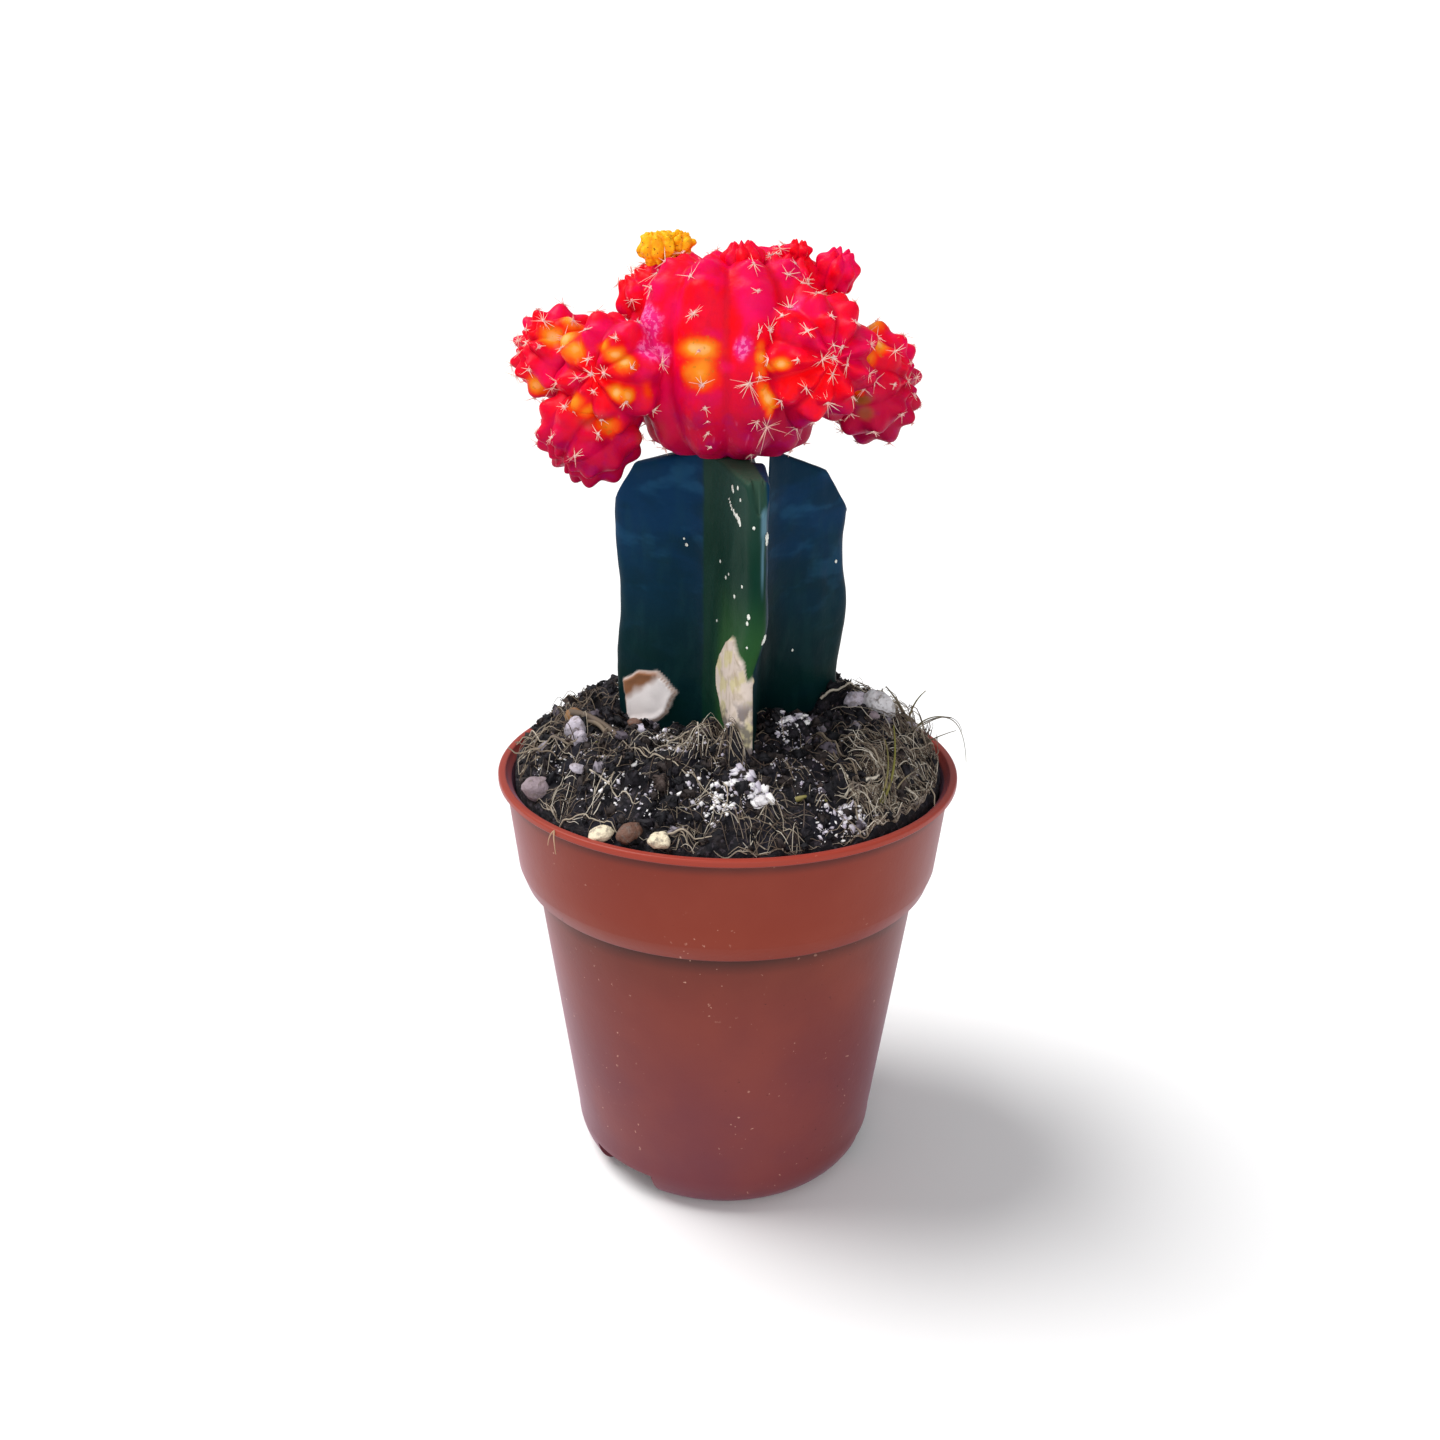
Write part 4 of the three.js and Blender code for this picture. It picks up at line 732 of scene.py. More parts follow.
def clods(x, y):
    """Rough small relief of peat: heaps, and rounded clods with dark cracks between them."""
    heaps = sum(height * np.exp(-((x - a) ** 2 + (y - b) ** 2) / width ** 2)
                for a, b, height, width in SOIL_HEAPS)
    heights = []
    for a, b in zip(x, y):
        near = noise.voronoi(Vector((a, b, 3.0)) / CLODS["large"])[0]
        fine = noise.voronoi(Vector((a, b, 9.0)) / CLODS["small"])[0]
        swell = noise.noise(Vector((a, b, 0)) / CLODS["swell"])
        heights.append(0.9 * (0.45 - near[0]) + 0.35 * (0.45 - fine[0]) + 0.5 * swell)
    return heaps + SOIL["clod"] * np.array(heights)


def ground(x, y):
    """Heights of the rough soil, a little sunk so that what lies there is bedded in."""
    x, y = np.atleast_1d(np.asarray(x, float)), np.atleast_1d(np.asarray(y, float))
    return soil_height(x, y) + clods(x, y) - 0.1


def make_soil():
    """Bed of peat from the pot's floor up to its rough surface."""
    spokes, rings = SOIL["spokes"], SOIL["rings"]
    turn = np.linspace(0, 2 * math.pi, spokes, endpoint=False)
    gap = POT["wall"] + SOIL["clearance"]
    step_top = POT["step_z"] + POT["wall"] + SOIL["clearance"]
    floor = POT["floor_top"] + 0.2
    side = [(POT["foot"], floor), (POT["wall_low"] - gap, POT["corner_z"] + 1),
            (POT["wall_top"] - gap, POT["step_z"]), (POT["wall_top"] - gap, step_top),
            (POT["step"] - gap, step_top), (POT["band_low"] - gap, POT["band_low_z"] + POT["wall"]),
            (SOIL["edge_radius"], SOIL["edge_low_z"])]
    radii = [r for r, _ in side] + list(SOIL["edge_radius"] * np.sqrt(np.linspace(1, 0.002, rings)))
    grid = np.zeros((len(radii), spokes, 3))
    grid[..., 0] = np.array(radii)[:, None] * np.cos(turn)
    grid[..., 1] = np.array(radii)[:, None] * np.sin(turn)
    grid[:len(side), :, 2] = np.array([z for _, z in side])[:, None]
    top = grid[len(side):]
    x, y = top[..., 0].ravel(), top[..., 1].ravel()
    top[..., 2] = (soil_height(x, y) + clods(x, y)).reshape(top.shape[:2])
    return closed_shell("peat_bed", grid, (0, 0, floor), (0, 0, float(soil_height(0.0, 0.0))))


def ground_lumps(rng, groups, smallest, lift, slimmest):
    """Places, aims and stretches of lumps in groups on the soil: x, y, spread, count and size."""
    spots, aims, stretches = [], [], []
    for x, y, spread, count, size in groups:
        for _ in range(count):
            azimuth, away = rng.random() * math.tau, spread * math.sqrt(rng.random())
            a, b = x + away * math.cos(azimuth), y + away * math.sin(azimuth)
            if math.hypot(a, b) > SOIL["edge_radius"] - 0.8 or math.dist((a, b), STOCK_AXIS) < 6:
                continue
            radius = smallest + (size - smallest) * rng.random() ** 2.5
            spots.append((a, b, radius))
            aims.append((rng.gauss(0, 0.6), rng.gauss(0, 0.6), 1))
            stretches.append((radius, radius * rng.uniform(slimmest, 1), radius * rng.uniform(slimmest, 0.9)))
    spots = np.array(spots)
    spots[:, 2] = ground(spots[:, 0], spots[:, 1]) + lift + 0.35 * spots[:, 2]
    return spots, aims, stretches


def make_grains(rng):
    """Perlite, stones and bark as rough pebbles half sunk in the soil, each in its own colour."""
    cage = bmesh.new()
    bmesh.ops.create_icosphere(cage, subdivisions=4, radius=1.0)
    ball = np.array([v.co for v in cage.verts])
    triangles = np.array([[v.index for v in face.verts] for face in cage.faces])
    cage.free()
    points, faces, colours = [], [], []
    for i, (x, y, size, flatness, kind) in enumerate(GRAINS):
        shift = rng.random() * 50
        swell = 1 + 0.26 * noise_at(ball, 0.9, shift) + 0.08 * noise_at(ball, 0.3, shift)
        shape = ball * swell[:, None] * (1.15, 0.95, flatness) * size
        turn = np.array(Euler((0.5 * rng.random(), 0.5 * rng.random(), rng.random() * 6)).to_matrix())
        faces += (triangles + i * len(ball)).tolist()
        points.append(shape @ turn.T + (x, y, float(ground(x, y)[0]) + 0.4 * size * flatness))
        colours += [srgb(GRAIN_COLOURS[kind])] * len(ball)
    piece = mesh_object("grains", np.vstack(points), faces)
    layer = piece.data.color_attributes.new("grain_colour", "FLOAT_COLOR", "POINT")
    layer.data.foreach_set("color", np.array(colours, np.float32).ravel())
    return piece


def bent(start, middle, end, count):
    """Points of a quadratic curve through its three handles."""
    t = np.linspace(0, 1, count)[:, None]
    start, middle, end = (np.asarray(p, float) for p in (start, middle, end))
    return (1 - t) ** 2 * start + 2 * t * (1 - t) * middle + t ** 2 * end


def fibre_strands(rng):
    """Dry roots and straw on the soil: the ones that stand out, then tufts of thin ones."""
    strands, count = [], STRAND_POINTS["root"]
    for handles, radius, tone in ROOTS:
        path = bent(*handles, count)
        low = ground(path[:, 0], path[:, 1])
        # Thick pieces are stiff: they bridge the clods, wander less and taper less
        stiff = smooth(radius, 0.3, 0.6)
        path[:, 2] += low + stiff * (np.linspace(low[0], low[-1], count) - low)
        path += (0.3 - 0.26 * stiff) * np.column_stack([noise_at(path, 2.0, seed) for seed in (31, 32, 33)])
        strands.append((path, 0.85 * radius * np.linspace(1, 0.5 + 0.35 * stiff, count), 0.9 * tone))
    for tuft in TUFTS:
        for _ in range(tuft["count"]):
            azimuth, away = rng.random() * math.tau, tuft["spread"] * math.sqrt(rng.random())
            x, y = tuft["at"][0] + away * math.cos(azimuth), tuft["at"][1] + away * math.sin(azimuth)
            heading = rng.random() * math.tau
            curl = rng.gauss(0, 0.07)
            length, steps = rng.uniform(*tuft["length"]), STRAND_POINTS["tuft"]
            path = []
            for _ in range(steps):
                heading += curl + rng.gauss(0, 0.06)
                path.append([x, y, 0.0])
                x += length / steps * math.cos(heading)
                y += length / steps * math.sin(heading)
            path = np.array(path)
            away = np.maximum(np.hypot(path[:, 0], path[:, 1]), 1e-6)
            path[:, :2] *= np.minimum(1, (SOIL["edge_radius"] - 0.6) / away)[:, None]
            arch = np.sin(np.linspace(0, math.pi * rng.uniform(0.5, 1.0), steps))
            path[:, 2] = ground(path[:, 0], path[:, 1]) + 0.15 + tuft["rise"] * rng.random() ** 1.6 * arch
            thick = tuft["thick"] * rng.uniform(0.5, 1.3)
            strands.append((path, thick * np.linspace(1, 0.4, steps), rng.uniform(*tuft["tones"])))
    return strands


def blade_strands():
    """Grass blades that stand or hang."""
    count = STRAND_POINTS["blade"]
    return [(bent(*handles, count), radius * np.linspace(1, 0.35, count), tone)
            for *handles, radius, tone in BLADES]


# Stock

def wing_frame(wing, height):
    """A wing's direction, the direction across it and its reach at heights above the soil."""
    upper = smooth(np.asarray(height, float), *LEAN)
    azimuth = np.radians(wing["low_azimuth"] + (wing["azimuth"] - wing["low_azimuth"]) * upper)
    along = np.stack([np.cos(azimuth), np.sin(azimuth)], -1)
    across = np.stack([-np.sin(azimuth), np.cos(azimuth)], -1)
    reach = wing["low_reach"] + (wing["reach"] - wing["low_reach"]) * upper
    swell = wing["wave"] * np.sin(2 * math.pi * np.asarray(height) / WAVE_LENGTH + wing["phase"])
    return along, across, reach + swell


def stock_outline(height):
    """Corners of the stock's outline at a height, as in the part's source."""
    share = 0.5 + 0.5 * float(smooth(height, 52, 82.2))
    outline = []
    for i, wing in enumerate(WINGS):
        along, across, reach = wing_frame(wing, height)
        reach = reach * share
        valley, radius = VALLEYS[i - 1]
        turn = math.radians(valley)
        outline.append(STOCK_AXIS + radius * np.array([math.cos(turn), math.sin(turn)]))
        half = EDGE_HALF
        for out, side in ((reach * 0.72, -half * 1.75), (reach - half * 0.8, -half), (reach, -half * 0.3),
                          (reach, half * 0.3), (reach - half * 0.8, half), (reach * 0.72, half * 1.75)):
            outline.append(STOCK_AXIS + along * out + across * side)
    return np.array(outline)


def rounded_loop(corners):
    """Smooth closed curve through corners, even where their spacing is uneven."""
    before, after, beyond = np.roll(corners, 1, 0), np.roll(corners, -1, 0), np.roll(corners, -2, 0)
    loop = []
    for i, (p0, p1, p2, p3) in enumerate(zip(before, corners, after, beyond)):
        t0 = 0.0
        t1 = t0 + math.sqrt(math.dist(p0, p1))
        t2 = t1 + math.sqrt(math.dist(p1, p2))
        t3 = t2 + math.sqrt(math.dist(p2, p3))
        t = np.linspace(t1, t2, LOOP_SAMPLES[i % len(LOOP_SAMPLES)], endpoint=False)[:, None]
        a1 = (t1 - t) / (t1 - t0) * p0 + (t - t0) / (t1 - t0) * p1
        a2 = (t2 - t) / (t2 - t1) * p1 + (t - t1) / (t2 - t1) * p2
        a3 = (t3 - t) / (t3 - t2) * p2 + (t - t2) / (t3 - t2) * p3
        b1 = (t2 - t) / (t2 - t0) * a1 + (t - t0) / (t2 - t0) * a2
        b2 = (t3 - t) / (t3 - t1) * a2 + (t - t1) / (t3 - t1) * a3
        loop.append((t2 - t) / (t2 - t1) * b1 + (t - t1) / (t2 - t1) * b2)
    return np.vstack(loop)


def stock_top(points):
    """Height of the stock's top over points: a fall from the core and a chamfer on each wing."""
    top = np.full(len(points), float(GRAFT_Z))
    for wing in WINGS:
        azimuth = math.radians(wing["azimuth"])
        along = (points - STOCK_AXIS) @ (math.cos(azimuth), math.sin(azimuth))
        (r1, z1), (r2, z2) = wing["inner"], wing["outer"]
        fall = GRAFT_Z + (z1 - GRAFT_Z) * (along - CORE_RADIUS) / (r1 - CORE_RADIUS)
        chamfer = z1 + (z2 - z1) * (along - r1) / (r2 - r1)
        top = np.where(along > CORE_RADIUS, np.minimum(top, np.minimum(fall, chamfer)), top)
    return top


def make_stock():
    """Three-winged column: side rings, a rounded top edge and a cap that follows the top."""
    steps = STOCK_MESH["sections"]
    table = np.array([rounded_loop(stock_outline(z)) for z in np.linspace(STOCK_FOOT, GRAFT_Z, steps + 1)])
    index = np.arange(table.shape[1])

    def loop_at(heights):
        level = np.clip((heights - STOCK_FOOT) / (GRAFT_Z - STOCK_FOOT), 0, 1) * (steps - 1e-6)
        low = level.astype(int)
        share = (level - low)[:, None]
        return table[low, index] * (1 - share) + table[low + 1, index] * share

    top = stock_top(loop_at(np.full(len(index), float(GRAFT_Z))))
    top = stock_top(loop_at(top))
    rings = []
    for t in np.linspace(0, 1, STOCK_MESH["rings"]):
        heights = STOCK_FOOT + (top - TOP_ROUND - STOCK_FOOT) * t
        rings.append(np.column_stack([loop_at(heights), heights]))
    edge = loop_at(top)
    tangent = np.roll(edge, -1, 0) - np.roll(edge, 1, 0)
    outward = np.column_stack([tangent[:, 1], -tangent[:, 0]]) / np.linalg.norm(tangent, axis=1)[:, None]
    for depth in TOP_ROUND * np.array(STOCK_MESH["drops"]):
        inset = TOP_ROUND - math.sqrt(TOP_ROUND ** 2 - (TOP_ROUND - depth) ** 2)
        rings.append(np.column_stack([edge - STOCK_MESH["inwards"] * inset * outward, top - depth]))
    last = rings[-1][:, :2]
    for share in STOCK_MESH["cap"]:
        loop = STOCK_AXIS + (last - STOCK_AXIS) * share
        rings.append(np.column_stack([loop, stock_top(loop)]))
    stock = closed_shell("stock_blank", np.array(rings), (*STOCK_AXIS, STOCK_FOOT), (*STOCK_AXIS, GRAFT_Z))
    gap = STOCK_NOTCH
    section = [(gap["left"], GRAFT_Z + 1), (gap["floor_x"], gap["floor_z"]), (gap["right"], GRAFT_Z + 1)]
    prism = [(x + gap["open"] * y, y, z - (gap["fall"] * y if z < GRAFT_Z else 0))
             for y in (gap["start"], gap["end"]) for x, z in section]
    faces = [(0, 1, 2), (5, 4, 3), (0, 3, 4, 1), (1, 4, 5, 2), (2, 5, 3, 0)]
    tool = carve(stock, mesh_object("stock_notch", prism, faces), "DIFFERENCE")
    piece = plain_piece(stock, "stock_flesh")
    bpy.data.objects.remove(tool)
    return piece


def polygon_depth(points, outline):
    """Signed distance of points to a closed outline, positive inside."""
    outline = np.asarray(outline, float)
    inside = np.zeros(len(points), bool)
    nearest = np.full(len(points), 1e9)
    for a, b in zip(outline, np.roll(outline, -1, 0)):
        edge = b - a
        t = np.clip(((points - a) @ edge) / (edge @ edge), 0, 1)
        nearest = np.minimum(nearest, np.linalg.norm(points - a - t[:, None] * edge, axis=1))
        crosses = (a[1] > points[:, 1]) != (b[1] > points[:, 1])
        if a[1] != b[1]:
            at = a[0] + (points[:, 1] - a[1]) * edge[0] / edge[1]
            inside ^= crosses & (points[:, 0] < at)
    return np.where(inside, nearest, -nearest)


def dress_stock(stock):
    """Soft dents, raised cork and the masks that its flesh is coloured by, painted light and shade too."""
    points = points_of(stock)
    normals = normals_of(stock)
    z = points[:, 2]
    flat = points[:, :2] - STOCK_AXIS
    reach = np.hypot(flat[:, 0], flat[:, 1])
    azimuth = np.degrees(np.arctan2(flat[:, 1], flat[:, 0])) % 360
    along, across, wing_reach = wing_frame(WINGS[0], z)
    out, side = (flat * along).sum(1), (flat * across).sum(1)
    on_front = (out > 0) & (side < 1.2) & (side > -9)
    left_valley = VALLEYS[2][0]
    flank = smooth(azimuth, left_valley - 3, left_valley + 6) * (1 - smooth(side, 1.0, 1.5)) * (out > -2)
    wobble = 0.5 * noise_at(points, 3.0, 3.0) + 0.15 * noise_at(points, 1.0, 5.0)
    field = np.column_stack([reach, z + 4.5 * smooth(side, -1.0, 0.3)])
    front = np.where(on_front, polygon_depth(field, CORK_FRONT) + wobble, -9)
    on_left = (azimuth > WINGS[2]["azimuth"] - 1) & (azimuth < left_valley)
    left = np.where(on_left, polygon_depth(np.column_stack([reach, z]), CORK_LEFT) + wobble, -9)
    cork = smooth(np.maximum(front, left), -0.35, 0.35)
    brown = smooth(left, -0.3, 0.4) * smooth(z + 0.82 * (reach - 16.4) + 2.4 * wobble, 92.6, 94.8)
    brown = np.maximum(brown, 0.8 * smooth(left, -0.2, 0.1) * (1 - smooth(left, 0.15, 0.6)))
    dents = 0.28 * noise_at(points, 9.0, 1.0) + 0.1 * noise_at(points, 3.0, 2.0)
    folds = noise_at(points * (1, 1, 0.35), 3.4, 9.0)
    calm = smooth(GRAFT_Z - z, 0, 3)
    rim = smooth(np.maximum(front, left), -0.1, 0.3) * (1 - smooth(np.maximum(front, left), 0.4, 1.6))
    lift = dents * calm + cork * (0.3 + 0.28 * folds) + 0.25 * rim
    move_points(stock, points + normals * lift[:, None])
    # Painted bluish reflection at the top of the front wing's edge; below it a pale line runs down that edge
    tip = smooth(out - wing_reach, -1.0, -0.6) * smooth(side, -0.1, 0.5) * smooth(z, 126.4, 129)
    tip = tip * (1 - smooth(z, 131, 134))
    seam = (1 - smooth(np.abs(side - 0.5), 0.1, 0.35)) * smooth(out - wing_reach, -1.3, -0.9)
    seam = seam * smooth(z, 117, 123) * (1 - smooth(z, 127.5, 129))
    set_attribute(stock, "flank", flank)
    set_attribute(stock, "cork", cork)
    set_attribute(stock, "brown", brown)
    set_attribute(stock, "front_cork", smooth(front, -0.3, 0.3))
    # Mask of the left cork, which the skin whitens as painted light where it takes less light
    set_attribute(stock, "lit_left_cork", smooth(left, -0.35, 0.35))
    # Faces that look up, lightened on the flank as painted light where the crown shades them
    set_attribute(stock, "level", smooth(normals[:, 2], 0.3, 0.8))
    # Painted shade in the valley between the front and the right wing, less of it higher up
    off_valley = np.abs((azimuth - VALLEYS[0][0] + 180) % 360 - 180)
    set_attribute(stock, "valley_shade", (1 - smooth(off_valley, 10, 48)) * (1 - 0.75 * smooth(z, 104, 122)))
    set_attribute(stock, "upper", smooth(z, 94, 132))
    set_attribute(stock, "fresh", (1 - smooth(z, 106, 121)) * smooth(reach, 6, 13))
    # Upper flank: its own grey, lightened as painted light against the crown's shade
    set_attribute(stock, "grey_and_lit_top", smooth(z, 122, 133))
    set_attribute(stock, "tip_reflection_and_seam", np.maximum(tip, seam * 0.9))
    set_attribute(stock, "stain", smooth(99.0 - z + 0.4 * (reach - 18), 0, 3) * smooth(front, -0.3, 0.3))


# Scion

def head_frame(head):
    axis = unit(head["axis"])
    guide = np.array([1.0, 0, 0]) if abs(axis[2]) > 0.9 else np.array([0, 0, 1.0])
    first = unit(guide - axis * (guide @ axis))
    return first, np.cross(axis, first), axis


def skin(head, theta, phi):
    """Points of a head's skin at angles round its axis and from its tip, and how near a crest."""
    first, second, axis = head_frame(head)
    sine = np.maximum(np.sin(phi), 0)
    fold = np.cos(head["ribs"] * (theta - math.radians(head["crest"])) / 2)
    crest = np.sqrt(fold ** 2 + VALLEY_ROUND) / math.sqrt(1 + VALLEY_ROUND)
    tooth = 0.5 - 0.5 * np.cos(2 * math.pi * head["teeth"] * (phi / math.pi) ** TIP_CROWDING)
    fade = smooth(sine, 0, RIB_DEPTH)
    lift = fade * (head["rib"] * (crest - 0.6) + head["tooth"] * crest * crest * tooth)
    across = head["radius"] * sine ** head["boxy"] + lift * sine
    sink = np.where(phi < math.pi / 2, head["dimple"] * np.exp(-(sine / 0.35) ** 2), 0)
    along = head["half"] * np.cos(phi) + lift * np.cos(phi) - sink
    points = (np.asarray(head["at"], float) + first * (across * np.cos(theta))[..., None]
              + second * (across * np.sin(theta))[..., None] + axis * along[..., None])
    return points, crest


def head_shell(head, prefix, spokes, levels):
    """One head as a closed shell, with its crest values in the order of its points."""
    turn = np.linspace(0, 2 * math.pi, spokes, endpoint=False)
    phi = math.pi * (1 - (np.arange(1, levels) / levels))
    theta, phi = np.meshgrid(turn, phi)
    points, crest = skin(head, theta, phi)
    low, _ = skin(head, np.array([0.0]), np.array([math.pi]))
    high, _ = skin(head, np.array([0.0]), np.array([0.0]))
    shell = closed_shell(prefix + head["name"], points, low[0], high[0])
    return shell, np.append(crest.ravel(), [0.5, 0.5])


def patch_mask(points, patches, low=0.05, high=1.45):
    """Soft mask round patch centres, with a wandering edge."""
    wander = 0.2 * noise_at(points, 2.5, 11.0) + 0.08 * noise_at(points, 0.9, 12.0)
    mask = np.zeros(len(points))
    for x, y, z, wide, tall, strength in patches:
        offset = (points - (x, y, z)) / (wide, wide, tall)
        mask = np.maximum(mask, strength * (1 - smooth(np.linalg.norm(offset, axis=1) + wander, low, high)))
    return mask


def union_of(shells, crests, name, tools=()):
    """One plain mesh of shells, less any tools, and the crest value nearest to each point."""
    anchors = np.vstack([points_of(shell) for shell in shells])
    values = np.concatenate(crests)
    used = [carve(shells[0], shell, "UNION") for shell in shells[1:]]
    used += [carve(shells[0], tool, operation) for tool, operation in tools]
    piece = plain_piece(shells[0], name)
    for tool in used:
        bpy.data.objects.remove(tool)
    tree = kdtree.KDTree(len(anchors))
    for i, point in enumerate(anchors):
        tree.insert(point, i)
    tree.balance()
    set_attribute(piece, "crest", [values[tree.find(p)[1]] for p in points_of(piece)])
    return piece


def make_scion():
    """Crown and offsets grown together into one skin, with the masks its colours and painted shade follow."""
    shells, crests = [], []
    for head in HEADS:
        kind = "crown" if head["name"] == "crown" else "offset"
        if head["radius"] < SMALL_RADIUS:
            kind = "small"
        shell, crest = head_shell(head, "shell_", *SHELL_MESH[kind])
        shells.append(shell)
        crests.append(crest)
    start, radius = np.array(BUD_NECK["start"], float), BUD_NECK["radius"]
    neck = lathe("neck", [(radius, 0), (radius * 0.8, 5), (radius, 11)], 0, 11, 24)
    turn = Vector((0, 0, 1)).rotation_difference(Vector(BUD_NECK["end"] - start)).to_matrix()
    move_points(neck, points_of(neck) @ np.array(turn).T + start)
    seat = SCION_SEAT
    centre = (STOCK_AXIS[0], STOCK_AXIS[1] + seat["backward"], GRAFT_Z - seat["depth"] / 2)
    under = box_tool("under", (seat["width"], seat["width"], seat["depth"]), centre)
    piece = union_of(shells, crests, "scion_flesh", [(neck, "UNION"), (under, "DIFFERENCE")])
    points = points_of(piece)
    ruffle = 0.14 * noise_at(points, 3.6, 20.0) + 0.05 * noise_at(points, 1.2, 21.0)
    calm = smooth(points[:, 2], GRAFT_Z + 0.3, GRAFT_Z + 2)
    move_points(piece, points + normals_of(piece) * (ruffle * calm)[:, None])
    set_attribute(piece, "yellow", patch_mask(points, YELLOW_PATCHES))
    set_attribute(piece, "pink", patch_mask(points, PINK_PATCHES, 0.6, 1.2))
    set_attribute(piece, "speckled", patch_mask(points, SPECKLED_PATCHES, 0.7, 1.2))
    set_attribute(piece, "warm", patch_mask(points, WARM_PATCHES, 0.5, 1.2))
    set_attribute(piece, "dull", patch_mask(points, DULL_AND_SHADED_PATCHES, 0.4, 1.2))
    set_attribute(piece, "scuffed", patch_mask(points, SCUFF_PATCHES, 0.5, 1.1))
    x, y = points[:, 0], points[:, 1]
    on_front_right = smooth(x, 6, 9) * smooth(-y, 11, 14)
    lift = 4 * smooth(-x, 12, 20) - 0.9 * np.clip(x, 0, 6) * (1 - on_front_right) + 4 * on_front_right
    # Painted shade: darker towards the bottom of the heads and on their faces that look down
    set_attribute(piece, "low", 1 - smooth(points[:, 2] + lift, 140, 155))
    set_attribute(piece, "under", smooth(-normals_of(piece)[:, 2], 0.1, 0.75))
    set_attribute(piece, "lowest_shade", 1 - smooth(points[:, 2] + lift, 134.5, 143))
    piece.data.set_sharp_from_angle(angle=math.radians(62))
    return piece


def inside_head(point, skipped, margin):
    for head in HEADS:
        if head is skipped:
            continue
        axis = unit(head["axis"])
        offset = point - np.asarray(head["at"], float)
        along = offset @ axis
        radial = np.linalg.norm(offset - axis * along)
        if math.hypot(along / (head["half"] + margin), radial / (head["radius"] + margin)) < 1:
            return True
    return False


def areoles(rng):
    """Woolly pads on every tooth: place, outward direction, pad size, spine count and length."""
    rows = []
    for head in HEADS:
        if head["name"] in SPINELESS:
            continue
        centre = np.asarray(head["at"], float)
        for rib in range(head["ribs"]):
            if head["name"] == "crown" and rib == 0:
                continue
            for level in range(head["teeth"] - 1):
                theta = math.radians(head["crest"]) + math.tau * rib / head["ribs"]
                phi = math.pi * ((level + AREOLE["place"]) / head["teeth"]) ** (1 / TIP_CROWDING)
                spot = skin(head, np.full(3, theta), np.array([phi, phi + 0.02, phi - 0.02]))[0]
                root = spot[0]
                if level == 0 and rib % 2:
                    continue
                if inside_head(root, head, AREOLE["margin"]) or root[2] < GRAFT_Z + AREOLE["above"]:
                    continue
                slope = unit(spot[1] - spot[2])
                outward = unit(root - centre)
                outward = unit(outward - 0.7 * slope * (outward @ slope))
                size = AREOLE["size" if level else "tip_size"] * rng.uniform(*AREOLE["vary"])
                rows.append((root, outward, size, rng.randint(*AREOLE["spines"]),
                             rng.uniform(*AREOLE["length"])))
    for x, y, z, size, count, length in CLUSTERS:
        spot = np.array([x, y, z])
        centre = np.asarray(HEADS[1 if x > 12 else 3 if x < -16 else 0]["at"], float)
        rows.append((spot, unit(spot - centre), size, count, length))
    return rows


def set_on_skin(rows, piece):
    """The same rows with their places moved onto a piece's skin and their direction along it."""
    skin_tree = BVHTree.FromObject(piece, bpy.context.evaluated_depsgraph_get())
    moved = []
    for root, outward, *rest in rows:
        spot, normal, _, _ = skin_tree.find_nearest(Vector(root) * MM)
        moved.append((np.array(spot) / MM, unit(0.5 * np.array(normal) + 0.5 * outward), *rest))
    return moved


def spread_needles(rng, rows, kind):
    """Needles about each areole: short wool hairs or longer spines, fanned out over the skin."""
    needle = NEEDLES[kind]
    places, aims, stretches = [], [], []
    for root, outward, size, count, length in rows:
        number, full = (WOOL_HAIRS, size) if kind == "wool" else (count, length)
        for _ in range(number):
            lean = np.array([rng.gauss(0, 1) for _ in range(3)])
            lean = unit(lean - outward * (lean @ outward))
            aims.append(outward * rng.uniform(*needle["outward"]) + lean + needle["droop"])
            stretches.append((needle["radius"], needle["radius"], full * rng.uniform(*needle["length"])))
            places.append(root)
    return places, aims, stretches


# Materials. Sizes in them are those of the real marks in millimetres; grain under 0.4 mm, such as
# peat dust, wax bloom and the pores of cork, is drawn at 0.4 to 1 mm, as coarse as it needs to show

